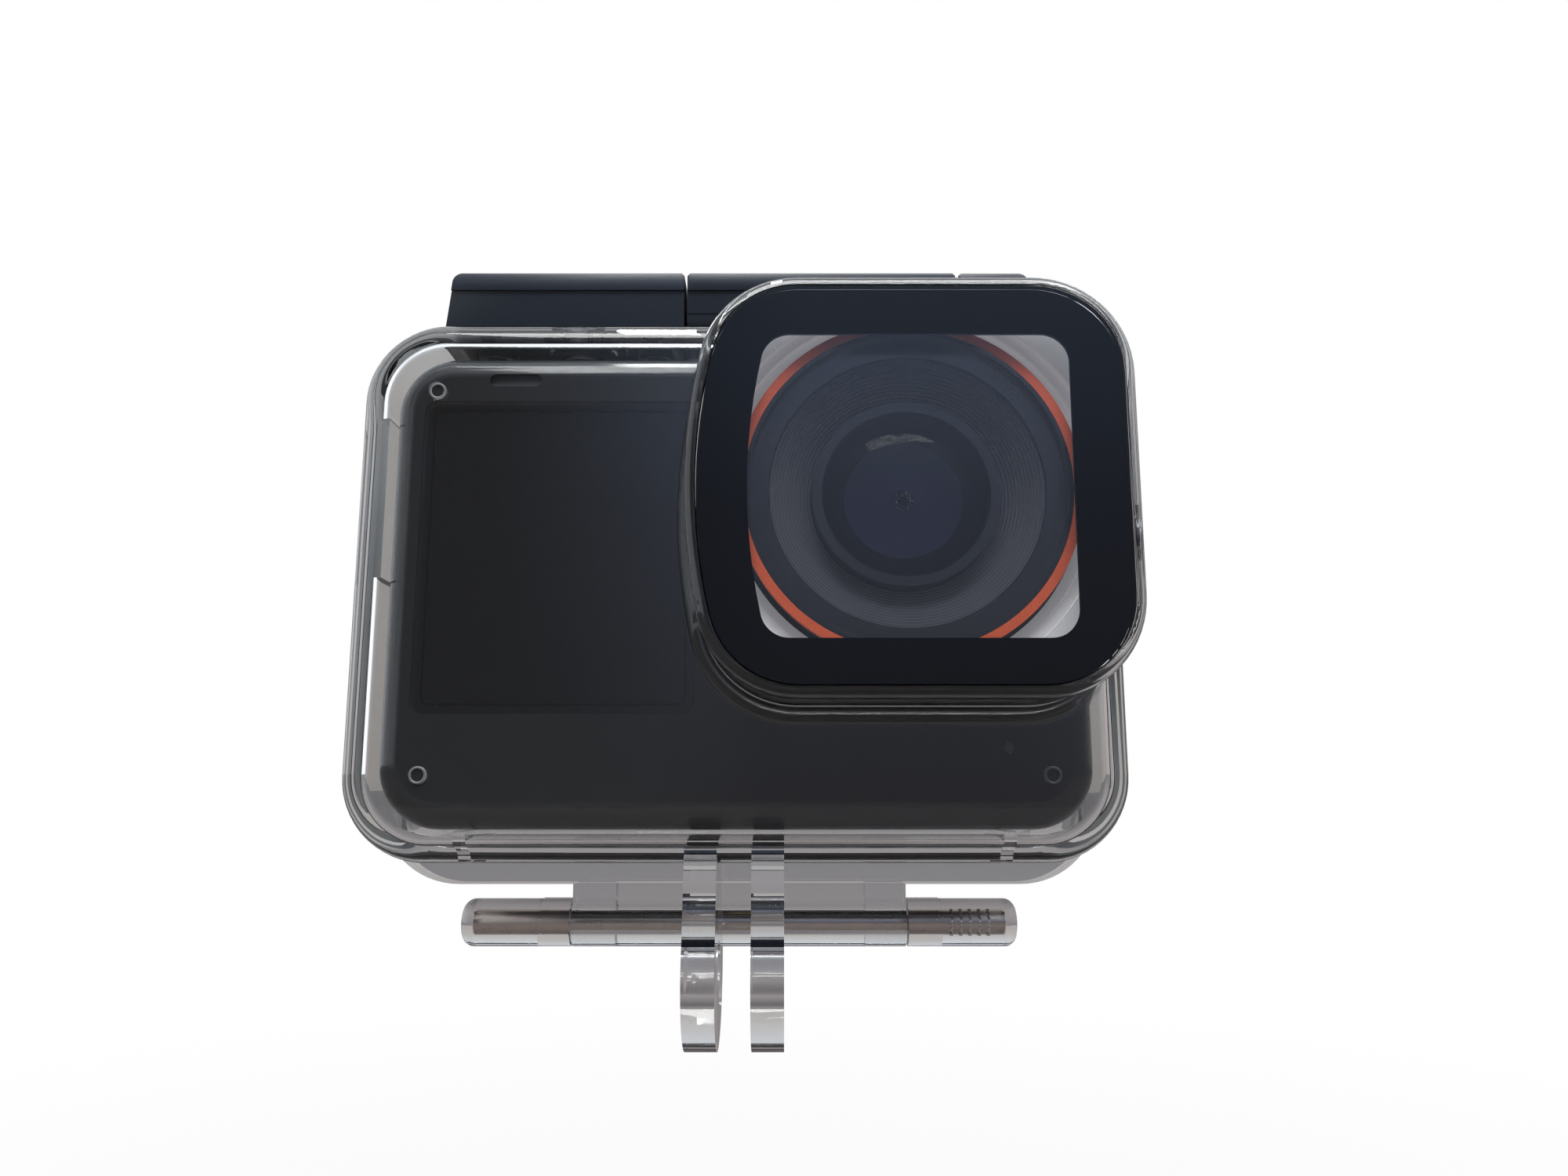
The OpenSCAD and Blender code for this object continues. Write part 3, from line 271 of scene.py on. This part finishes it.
def grooved(centre, pitch):
    """Dark grey in rings about the lens axis, with a thin dark ring of painted shade at the foot of each
    step.
    """
    paint = new_paint("baffle_grey")
    across = paint.part(paint.place(), 0) - centre[0] * MM
    along = paint.part(paint.place(), 2) - centre[1] * MM
    radius = (across * across + along * along).root()
    # Painted shade: the dark ring stands for the shadow at the foot of each groove.
    groove_shade = (radius * (tau / (pitch * MM))).wave().above(0.45)
    cloud = paint.noise(0.1, detail=3.0)
    ground = paint.mix(cloud, (0.060, 0.062, 0.074), (0.085, 0.087, 0.099))
    return paint.output(paint.principled(
        Base_Color=paint.mix(groove_shade, ground, (0.026, 0.027, 0.034)), Roughness=0.45 + 0.2 * groove_shade))


barrel_low, barrel_high = box_mm("lens_barrel")
lens_axis = ((barrel_low.x + barrel_high.x) / 2, (barrel_low.z + barrel_high.z) / 2)
finishes["baffle_grey"] = grooved(lens_axis, 0.30)


def mask_print():
    """Ink laid on the back of the pane. Bonded to the glass, it has no shine of its own."""
    paint = new_paint("mask_black")
    cloud = paint.noise(0.3)
    return paint.output(paint.principled(
        Base_Color=paint.mix(cloud, (0.0016, 0.002, 0.0035), (0.003, 0.0036, 0.0055)),
        Roughness=0.5 + 0.2 * cloud, Specular_IOR_Level=0.0))


finishes["mask_black"] = mask_print()


def collar_plastic_painted_glow():
    """Pale clear plastic with a fine matt texture and a painted glow: it gives off a faint light of its
    own, standing in for light that reaches it through the side walls.
    """
    paint = new_paint("collar_pale")
    cloud = paint.noise(0.5, detail=5.0)
    return paint.output(paint.principled(
        Base_Color=paint.mix(cloud, (0.86, 0.86, 0.87), (0.97, 0.97, 0.98)),
        Roughness=0.12 + 0.2 * cloud, Transmission_Weight=0.1, IOR=1.45,
        # Painted glow: the collar is no lamp, but gives off light of its own.
        Emission_Color=(0.30, 0.30, 0.31), Emission_Strength=0.35))


finishes["collar_pale"] = collar_plastic_painted_glow()
# A pale grey for the rings on the pips: a painted highlight.
finishes["ground_edge"] = moulded("ground_edge", (0.26, 0.265, 0.27), 0.3, 3.0, 0.1)
print("blacks done:", len(finishes), "finishes")

# %% [markdown]
# ## Silicone, metals and boards
# The door's gasket is milky silicone, the pins and plungers are turned steel with faint rings, and the
# ring round the lens is bead-blasted and dyed orange. The circuit boards show copper tracks under the
# green mask.

# %% Silicone
def silicone():
    paint = new_paint("gasket_silicone")
    return paint.output(paint.principled(
        Base_Color=paint.mix(paint.noise(0.2), (0.62, 0.64, 0.65), (0.74, 0.75, 0.76)),
        Roughness=0.4 + 0.1 * paint.noise(1.0), Transmission_Weight=0.3, IOR=1.41,
        Normal=paint.bump(paint.noise(4.0), 0.2, 0.02)))


finishes["gasket_silicone"] = silicone()


# %% Metals
def metal(name, colour, rough, grain_per_mm, grain):
    paint = new_paint(name)
    cloud = paint.noise(0.4, detail=4.0)
    darker = tuple(c * 0.75 for c in colour)
    return paint.output(paint.principled(
        Base_Color=paint.mix(cloud, darker, colour), Metallic=1.0,
        Roughness=rough + 0.12 * cloud, Normal=paint.bump(paint.noise(grain_per_mm), grain, 0.02)))


finishes["pin_steel"] = metal("pin_steel", (0.50, 0.43, 0.39), 0.22, 3.0, 0.25)
finishes["button_steel"] = metal("button_steel", (0.60, 0.60, 0.61), 0.2, 3.0, 0.2)
finishes["spring_steel"] = metal("spring_steel", (0.70, 0.71, 0.72), 0.14, 4.0, 0.1)
finishes["socket_steel"] = metal("socket_steel", (0.52, 0.53, 0.55), 0.28, 5.0, 0.2)
finishes["chassis_metal"] = metal("chassis_metal", (0.42, 0.43, 0.45), 0.4, 5.0, 0.3)
finishes["contact_brass"] = metal("contact_brass", (0.72, 0.52, 0.22), 0.2, 5.0, 0.2)


# %% Orange ring
def orange_dye():
    paint = new_paint("orange_anodised")
    speckle = paint.noise(7.0, detail=2.0, rough=0.7)
    colour = paint.mix(speckle, (0.60, 0.05, 0.010), (1.0, 0.20, 0.06))
    return paint.output(paint.principled(
        Base_Color=colour, Metallic=0.25, Roughness=0.42 + 0.15 * speckle,
        Normal=paint.bump(speckle, 0.7, 0.05)))


finishes["orange_anodised"] = orange_dye()


# %% Boards
def circuit_board():
    paint = new_paint("board_green")
    cells = paint.node("ShaderNodeTexVoronoi", {"distance": "CHEBYCHEV"},
                       {"Vector": paint.place(), "Scale": 0.55 / MM})
    tracks = (cells * 46.0).wave().above(0.55)
    return paint.output(paint.principled(
        Base_Color=paint.mix(tracks, (0.008, 0.06, 0.03), (0.03, 0.16, 0.08)),
        Roughness=0.3 + 0.15 * tracks, Normal=paint.bump(tracks, 0.4, 0.03)))


finishes["board_green"] = circuit_board()
print("metals and boards done:", len(finishes), "finishes")

# %% [markdown]
# ## Lens glass and display glass
# Camera glass is coated and reflects very little. A low index of refraction stands in for the
# coating. The front display has a smoked cover that hides the panel until it lights up.

# %% Coated and smoked glass
def tinted_glass(name, colour, ior, rough=0.01):
    paint = new_paint(name)
    drift = paint.noise(0.08, detail=1.0)
    glass = paint.principled(
        Base_Color=paint.mix(drift, colour, tuple(min(1.0, c * 1.12) for c in colour)),
        Roughness=rough, IOR=ior, Transmission_Weight=1.0)
    lamp = paint.node("ShaderNodeLightPath", output=1)
    open_way = paint.node("ShaderNodeBsdfTransparent", values={"Color": (*colour, 1)})
    return paint.output(paint.node("ShaderNodeMixShader", values={0: lamp, 1: glass, 2: open_way}))


finishes["lens_glass"] = tinted_glass("lens_glass", (0.50, 0.51, 0.74), 1.14)
finishes["cover_glass"] = tinted_glass("cover_glass", (0.92, 0.92, 0.95), 1.2)
finishes["display_glass"] = tinted_glass("display_glass", (0.60, 0.61, 0.64), 1.45)


def iris_gold():
    """Dark blades with bright dots painted on: painted glints where the coating on the tiny element
    behind them would catch the light.
    """
    paint = new_paint("iris_gold")
    # Painted glints: bright dots in the colour stand in for reflections.
    painted_glints = paint.noise(5.5, detail=1.0).above(0.60)
    colour = paint.mix(painted_glints, (0.030, 0.030, 0.024), (0.75, 0.62, 0.30))
    return paint.output(paint.principled(
        Base_Color=colour, Metallic=0.3, Roughness=0.3 + 0.1 * paint.noise(2.0)))


finishes["iris_gold"] = iris_gold()


def sensor_colour():
    paint = new_paint("sensor_face")
    rainbow = paint.noise(0.15, detail=1.0)
    return paint.output(paint.principled(
        Base_Color=paint.mix(rainbow, (0.05, 0.16, 0.10), (0.20, 0.10, 0.22)), Metallic=0.6,
        Roughness=0.15 + 0.1 * paint.noise(2.0)))


finishes["sensor_face"] = sensor_colour()
missing = sorted({s["slot"] for s in frame["record"]["materials"]} - set(finishes))
print("slots with no finish:", missing)

# %% [markdown]
# ## Painting the CAD nodes
# Each node has one slot in the record, and the finish of that name goes on it. The pieces made
# further down take their finishes from the same list.

# %% Give every CAD node its finish
for name, node in nodes.items():
    for material_slot in node.material_slots:
        material_slot.material = finishes[slot_of[name]]
print("painted", len(nodes), "nodes")


# %% [markdown]
# ## Helpers for new pieces
# A piece is built in a bmesh, and then placed, painted and tied to its moving body, and the CAD
# nodes that it replaces are hidden.

# %% Finish a piece
def add_piece(bm, name, node, replaced=(), slot=None, smooth_deg=40):
    """Makes an object of the bmesh. It rides with node's body and is painted as node is."""
    bmesh.ops.recalc_face_normals(bm, faces=bm.faces[:])
    mesh = bpy.data.meshes.new(name)
    bm.to_mesh(mesh)
    bm.free()
    piece = bpy.data.objects.new(name, mesh)
    bpy.context.scene.collection.objects.link(piece)
    mesh.shade_smooth()
    mesh.set_sharp_from_angle(angle=radians(smooth_deg))
    used = slot or slot_of[node]
    mesh.materials.append(finishes[used])
    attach(piece, body_of[node])
    if replaced:
        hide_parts(*replaced)
    print(f"{name}: {len(mesh.polygons)} faces")
    return piece


def rounded_points(low, high, radius, bow=0.0, steps=12):
    """Outline of a rounded rectangle from corner low to corner high, as (X, Z) in millimetres. With
    bow, its left side is one arc that leaves low[0] for its middle and runs into the corners."""
    half = (high[1] - low[1]) / 2 - radius
    arcs = []
    lean = 0.0
    if bow:
        run = (half * half + bow * bow) / (2 * bow)
        lean = asin(half / run)
        arcs.append((low[0] + radius + run, low[1] + radius + half, run + radius, pi - lean, 2 * lean))
    left, right = low[0] + bow + radius, high[0] - radius
    bottom, top = low[1] + radius, high[1] - radius
    arcs = [(right, top, radius, 0, pi / 2), (left, top, radius, pi / 2, pi / 2 - lean), *arcs,
            (left, bottom, radius, pi + lean, pi / 2 - lean), (right, bottom, radius, 1.5 * pi, pi / 2)]
    points = []
    for x, z, reach, start, turn in arcs:
        for i in range(steps + 1):
            a = start + turn * i / steps
            point = Vector((x + reach * cos(a), z + reach * sin(a)))
            if not points or (point - points[-1]).length > 1e-6:
                points.append(point)
    return points


def lofted(loops, ring=False):
    """Skin over outlines of equal length, each given with its Y. A ring joins the last to the first;
    otherwise both ends are closed."""
    bm = bmesh.new()
    rows = []
    for points, y in loops:
        row = [bm.verts.new((x * MM, y * MM, z * MM)) for x, z in points]
        rows.append([bm.edges.new((row[i - 1], row[i])) for i in range(len(row))])
    for a, b in zip(rows, rows[1:] + rows[:1] if ring else rows[1:]):
        bmesh.ops.bridge_loops(bm, edges=a + b)
    if not ring:
        bmesh.ops.contextual_create(bm, geom=rows[0])
        bmesh.ops.contextual_create(bm, geom=rows[-1])
    return bm


def turned(points, centre, steps=128):
    """Spins an outline of (radius, Y) about the axis along Y through centre (X, Z)."""
    bm = bmesh.new()
    verts = [bm.verts.new(((centre[0] + r) * MM, y * MM, centre[1] * MM)) for r, y in points]
    edges = [bm.edges.new((verts[i], verts[i + 1])) for i in range(len(verts) - 1)]
    bmesh.ops.spin(bm, geom=verts + edges, cent=(centre[0] * MM, 0, centre[1] * MM), axis=(0, 1, 0),
                   angle=tau, steps=steps, use_merge=True)
    bmesh.ops.remove_doubles(bm, verts=bm.verts[:], dist=1e-7)
    return bm


# %% [markdown]
# ## The window in the port
# The window is a flat pane with polished, slightly broken edges. The black mask is ink on its back,
# so the mask piece is set a hair's breadth into the pane: then there is no air between the two, and
# the black is as deep as the real one. One side of both bulges towards the display.

# %% Window and mask
PORT_BOW = 1.2              # how far the side towards the display bulges
PANE_CORNER, MASK_CORNER = 7.95, 7.9
EDGE = 0.12                 # the broken edge of the pane
low, high = box_mm("port_window")
whole = rounded_points((low.x, low.z), (high.x, high.z), PANE_CORNER, PORT_BOW)
inner = rounded_points(
    (low.x + EDGE, low.z + EDGE), (high.x - EDGE, high.z - EDGE), PANE_CORNER - EDGE, PORT_BOW)
pane = lofted([(inner, low.y), (whole, low.y + EDGE), (whole, high.y - EDGE), (inner, high.y)])
add_piece(pane, "window_pane", "port_window", replaced=["port_window"])

low, high = box_mm("port_mask")
BOND = 0.05                 # how deep the ink is set into the pane
HOLE_WIDTH, HOLE_HEIGHT, HOLE_CORNER = 29.0, 27.7, 2.6
middle = (lens_axis[0], (low.z + high.z) / 2)
outer = rounded_points((low.x, low.z), (high.x, high.z), MASK_CORNER, PORT_BOW)
hole = rounded_points(
    (middle[0] - HOLE_WIDTH / 2, middle[1] - HOLE_HEIGHT / 2),
    (middle[0] + HOLE_WIDTH / 2, middle[1] + HOLE_HEIGHT / 2), HOLE_CORNER, PORT_BOW)
front = low.y - BOND
mask = lofted([(outer, front), (outer, high.y), (hole, high.y), (hole, front)], ring=True)
add_piece(mask, "mask_print", "port_mask", replaced=["port_mask"])

# %% [markdown]
# ## Pins
# The hinge pin is drawn wire with chamfered ends, and a band of herringbone knurling at one end bites
# into the knuckle so that the pin can't walk out. Each ridge is a slim bar; two leaning bars make one
# V, and the Vs repeat round the pin and along it.

# %% Hinge pin
def pin_piece(name, node):
    low, high = box_mm(node)
    middle = (low + high) / 2
    radius = (high.z - low.z) / 2 + 0.02
    bm = bmesh.new()
    bmesh.ops.create_cone(bm, cap_ends=True, segments=48, radius1=radius * MM, radius2=radius * MM,
                          depth=(high.x - low.x) * MM)
    caps = [e for e in bm.edges if e.calc_face_angle(0) > radians(60)]
    bmesh.ops.bevel(bm, geom=caps, offset=0.15 * MM, segments=2, affect="EDGES", profile=0.5, material=-1)
    bmesh.ops.rotate(bm, verts=bm.verts[:], cent=(0, 0, 0), matrix=Matrix.Rotation(pi / 2, 3, "Y"))
    bmesh.ops.translate(bm, verts=bm.verts[:], vec=middle * MM)
    add_piece(bm, name, node, replaced=[node])
    return middle, radius


pin_middle, pin_radius = pin_piece("hinge_rod", "hinge_pin")
pin_piece("latch_rod", "latch_pin")

# %% Knurling
KNURL_START, KNURL_ROWS, KNURL_PITCH = 21.8, 5, 0.95
ROUND = 10                  # how many Vs go round the pin
bm = bmesh.new()
for row in range(KNURL_ROWS):
    x = KNURL_START + row * KNURL_PITCH
    for i in range(ROUND):
        turn = Matrix.Rotation(tau * i / ROUND, 3, "X")
        for side in (-1, 1):
            lean = Matrix.Rotation(radians(42 * side), 3, "Y")
            bar = bmesh.ops.create_cube(bm, size=1.0)["verts"]
            bmesh.ops.scale(bm, verts=bar, vec=(0.16 * MM, 0.12 * MM, 0.34 * MM))
            bmesh.ops.rotate(bm, verts=bar, cent=(0, 0, 0), matrix=lean)
            bmesh.ops.translate(bm, verts=bar, vec=(0, -pin_radius * MM, 0.11 * side * MM))
            bmesh.ops.rotate(bm, verts=bar, cent=(0, 0, 0), matrix=turn)
            bmesh.ops.translate(bm, verts=bar, vec=(x * MM, pin_middle.y * MM, pin_middle.z * MM))
add_piece(bm, "hinge_knurling", "hinge_pin", slot="spring_steel", smooth_deg=20)

# %% [markdown]
# ## Pips on the inside of the case
# Three small posts keep the camera's face off the case. Their ends are ground flat, and a pale grey
# ring on each end is a painted highlight, where the light catches the edge.

# %% Rings on the pips
PIP_X, PIP_LOW, PIP_HIGH = 29.9, 17.9, 55.7
PIP_RADIUS, RIM_WIDTH, RIM_DEPTH, RIM_SIDES = 0.72, 0.13, 0.06, 10
bm = bmesh.new()
front = box_mm("camera_front_cover")[0].y - 0.09
for x, z in ((-PIP_X, PIP_LOW), (PIP_X, PIP_LOW), (-PIP_X, PIP_HIGH)):
    points = []
    for a in (tau * i / RIM_SIDES for i in range(RIM_SIDES)):
        across, back = x + PIP_RADIUS + RIM_WIDTH * cos(a), front + RIM_DEPTH * sin(a)
        points.append(bm.verts.new((across * MM, back * MM, z * MM)))
    rim = [bm.edges.new((points[i], points[(i + 1) % RIM_SIDES])) for i in range(RIM_SIDES)]
    bmesh.ops.spin(bm, geom=points + rim, cent=(x * MM, front * MM, z * MM), axis=(0, 1, 0), angle=tau,
                   steps=40, use_merge=True)
bmesh.ops.remove_doubles(bm, verts=bm.verts[:], dist=1e-7)
pips = add_piece(bm, "pip_highlight_rings", "front_shell", slot="collar_pale")
# The pale grey ring is a painted highlight on the pip's edge.
pips.data.materials[0] = finishes["ground_edge"]

# %% [markdown]
# ## Springs
# Round wire wound on a mandrel is a circle carried along a helix: one spin with a rise per step.
# Each coil rides with its button.

# %% Springs
WIRE = 0.22                 # the wire's radius


def spring(name, node, axis, turns):
    low, high = box_mm(node)
    middle = (low + high) / 2
    index = "xyz".index(axis)
    length = high[index] - low[index]
    others = [i for i in range(3) if i != index]
    mean = (high[others[0]] - low[others[0]]) / 2 - WIRE
    bm = bmesh.new()
    made = bmesh.ops.create_circle(bm, segments=12, radius=WIRE * MM, cap_ends=True)["verts"]
    bmesh.ops.rotate(bm, verts=made, cent=(0, 0, 0), matrix=Matrix.Rotation(pi / 2, 3, "X"))
    bmesh.ops.translate(bm, verts=made, vec=(mean * MM, 0, WIRE * MM))
    steps = 32 * turns
    rise = (length - 2 * WIRE) * MM / steps
    bmesh.ops.spin(bm, geom=bm.verts[:] + bm.edges[:] + bm.faces[:], cent=(0, 0, 0), axis=(0, 0, 1),
                   dvec=(0, 0, rise), angle=tau * turns, steps=steps)
    if axis == "x":
        bmesh.ops.rotate(bm, verts=bm.verts[:], cent=(0, 0, 0), matrix=Matrix.Rotation(pi / 2, 3, "Y"))
    start = middle.copy()
    start[index] = low[index]
    bmesh.ops.translate(bm, verts=bm.verts[:], vec=start * MM)
    coil = add_piece(bm, name, node, replaced=[node], smooth_deg=80)
    moving_end, along = middle * MM, Vector((0, 0, 0))
    moving_end[index], along[index] = high[index] * MM, 1
    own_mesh(coil)


spring("shutter_coil", "shutter_spring", "z", 3)
spring("power_coil", "power_spring", "x", 2)

# %% [markdown]
# ## The lens behind the port
# From the front: a cover glass, a gloss ring, a cone of fine grooves against stray light, the coated
# front element, and deep inside it the small iris.

# %% Cover glass
low, high = box_mm("lens_cover_glass")
lens_at = ((low.x + high.x) / 2, (low.z + high.z) / 2)
edge = (high.x - low.x) / 2
back = high.y - 0.05        # just in front of the CAD node's own back
BROKEN = 0.15
pane = turned([(0, low.y), (edge - BROKEN, low.y), (edge, low.y + BROKEN), (edge, back - BROKEN),
               (edge - BROKEN, back), (0, back)], lens_at)
cover = add_piece(pane, "lens_cover_pane", "lens_cover_glass", replaced=["lens_cover_glass"])
cover.data.materials[0] = finishes["cover_glass"]

# %% [markdown]
# ## Iris
# Six thin blades leave a six-sided opening. They sit behind the stop, so only their tips show.

# %% Iris blades
low, high = box_mm("lens_iris")
BLADES, BLADE_REACH, OPENING = 6, 2.2, 0.42
bm = bmesh.new()
for i in range(BLADES):
    turn = Matrix.Rotation(tau * i / BLADES, 3, "Y")
    corners = [(OPENING * -0.58, OPENING), (OPENING * 0.58, OPENING), (BLADE_REACH * 0.62, BLADE_REACH),
               (-BLADE_REACH * 0.58, BLADE_REACH)]
    y = high.y + 0.04 + 0.02 * (i % 2)
    blade = [bm.verts.new((x * MM, y * MM, z * MM)) for x, z in corners]
    face = bm.faces.new(blade)
    made = bmesh.ops.extrude_face_region(bm, geom=[face])["geom"]
    back = [item for item in made if isinstance(item, bmesh.types.BMVert)]
    bmesh.ops.translate(bm, verts=back, vec=(0, 0.02 * MM, 0))
    bmesh.ops.rotate(bm, verts=blade + back, cent=(0, y * MM, 0), matrix=turn)
bmesh.ops.translate(bm, verts=bm.verts[:], vec=(lens_at[0] * MM, 0, lens_at[1] * MM))
blades = add_piece(bm, "iris_blades", "lens_iris")
blades.data.materials[0] = finishes["iris_gold"]

# %% [markdown]
# ## The bar of controls
# Moulded edges are never razor sharp. Each part of the bar is a merged copy of its CAD node whose
# sharp edges get a narrow round, which is what draws the thin bright lines along them.

# %% Soft edges
def softened(node, name, width):
    bm = bmesh.new()
    bm.from_mesh(nodes[node].data)
    bmesh.ops.remove_doubles(bm, verts=bm.verts[:], dist=1e-6)
    bmesh.ops.dissolve_limit(bm, angle_limit=radians(0.5), verts=bm.verts[:], edges=bm.edges[:])
    sharp = [e for e in bm.edges if len(e.link_faces) == 2 and e.calc_face_angle(0) > radians(35)]
    bmesh.ops.bevel(bm, geom=sharp, offset=width * MM, segments=2, affect="EDGES", profile=0.5,
                    material=-1, clamp_overlap=True)
    add_piece(bm, name, node, replaced=[node], smooth_deg=45)


bar_of = {"shutter_pad": "shutter_bar", "latch_lever": "latch_bar", "latch_lock": "lock_bar"}
for node, name in bar_of.items():
    softened(node, name, 0.14)

# %% [markdown]
# ## Floor and light
# A pale floor, low enough for the open door to clear it, and a bright, even room. The room is
# darker in front of the case than behind it, so the glossy fronts stay dark while the clear walls
# stay bright. Light isn't focused through the plastic, which would only add noise.

# %% Floor
FLOOR_DROP = 27
bm = bmesh.new()
bmesh.ops.create_circle(bm, segments=64, radius=4.0, cap_ends=True)
bmesh.ops.translate(bm, verts=bm.verts[:], vec=(0, 0, cad_bounds[0][2] - FLOOR_DROP * MM))
floor_mesh = bpy.data.meshes.new("floor")
bm.to_mesh(floor_mesh)
bm.free()
floor = bpy.data.objects.new("floor", floor_mesh)
bpy.context.scene.collection.objects.link(floor)
paint = new_paint("floor")
distance = paint.node("ShaderNodeVectorMath", {"operation": "LENGTH"}, {0: paint.place()}, output=1)
# Near the object a little of the lit table shows through the white glow: its real shadow, and a painted
# darkening, as the table is darker than the glow.
near_shade = paint.node("ShaderNodeMapRange", {"interpolation_type": "SMOOTHSTEP"},
                  {"Value": distance, "From Min": 0.05, "From Max": 0.22, "To Min": 0.05, "To Max": 0.0})
table = paint.principled(
    Base_Color=paint.mix(paint.noise(0.4), (0.17, 0.15, 0.145), (0.19, 0.17, 0.165)), Roughness=0.7)
glow = paint.node("ShaderNodeEmission", values={"Color": (1, 1, 1, 1), "Strength": 1.0})
direct = paint.node("ShaderNodeLightPath", output=0)
floor_mesh.materials.append(paint.output(
    paint.node("ShaderNodeMixShader", values={0: direct * (1 - near_shade), 1: table, 2: glow})))

# %% Room light
room = bpy.data.worlds.new("room")
bpy.context.scene.world = room
paint = Paint(room)
outward = paint.node("ShaderNodeTexCoord", output=0)
right, ahead, up = paint.part(outward, 0), paint.part(outward, 1), paint.part(outward, 2)
height = 0.5 + 0.5 * up
table_side = paint.node("ShaderNodeValToRGB", {"stops": [
    (0.0, (0.30, 0.26, 0.25)), (0.45, (0.40, 0.365, 0.345)), (0.65, (0.50, 0.48, 0.47)),
    (1.0, (0.85, 0.92, 1.0))]}, {0: height})
eye_side = paint.node("ShaderNodeValToRGB", {"stops": [
    (0.0, (0.15, 0.09, 0.09)), (0.44, (0.15, 0.12, 0.13)), (0.53, (0.19, 0.20, 0.24)),
    (0.62, (0.25, 0.29, 0.40)), (0.70, (0.40, 0.50, 0.72)), (0.85, (0.95, 1.0, 1.05)),
    (1.0, (2.6, 2.7, 2.8))]}, {0: height})
across = paint.node("ShaderNodeMapRange", {"interpolation_type": "SMOOTHSTEP"},
                    {"Value": right, "From Min": -0.26, "From Max": 0.04})
overhead = paint.node("ShaderNodeMapRange", {"interpolation_type": "SMOOTHSTEP"},
                      {"Value": height, "From Min": 0.70, "From Max": 0.85})
eye_side = paint.mix(across + overhead, (0.105, 0.105, 0.108), eye_side)
turned_away = paint.node("ShaderNodeMapRange", {"interpolation_type": "SMOOTHSTEP"},
                         {"Value": ahead, "From Min": -0.5, "From Max": 0.2})
around = paint.mix(turned_away, eye_side, table_side)
left_window = paint.node("ShaderNodeMapRange", {"interpolation_type": "SMOOTHSTEP"},
                         {"Value": right, "From Min": -0.55, "From Max": -0.85})
around = paint.mix(left_window, around, (1.15, 1.2, 1.28))
sky = paint.mix(paint.node("ShaderNodeLightPath", output=0), around, (1.0, 1.0, 1.0))
paint.output(paint.node("ShaderNodeBackground", values={"Color": sky, "Strength": 1.0}))


def soft_box(name, place, aim, width, height, power):
    lamp = bpy.data.lights.new(name, "AREA")
    lamp.shape, lamp.size, lamp.size_y, lamp.energy = "RECTANGLE", width, height, power
    holder = bpy.data.objects.new(name, lamp)
    bpy.context.scene.collection.objects.link(holder)
    holder.location = place
    holder.rotation_euler = (Vector(aim) - Vector(place)).to_track_quat("-Z", "Y").to_euler()
    print(name, power, "W")


soft_box("window_light", (-0.050, -0.06, 0.45), (-0.05, -0.05, 0.04), 0.034, 0.24, 0.6)
soft_box("key_light", (0.06, -0.22, 0.50), (0, 0, 0.04), 0.45, 0.22, 2.6)
bpy.context.scene.view_settings.view_transform = "Standard"
bpy.context.scene.cycles.caustics_refractive = False
bpy.context.scene.cycles.caustics_reflective = False
bpy.context.scene.cycles.max_bounces = 24
bpy.context.scene.cycles.transmission_bounces = 24
bpy.context.scene.cycles.transparent_max_bounces = 24
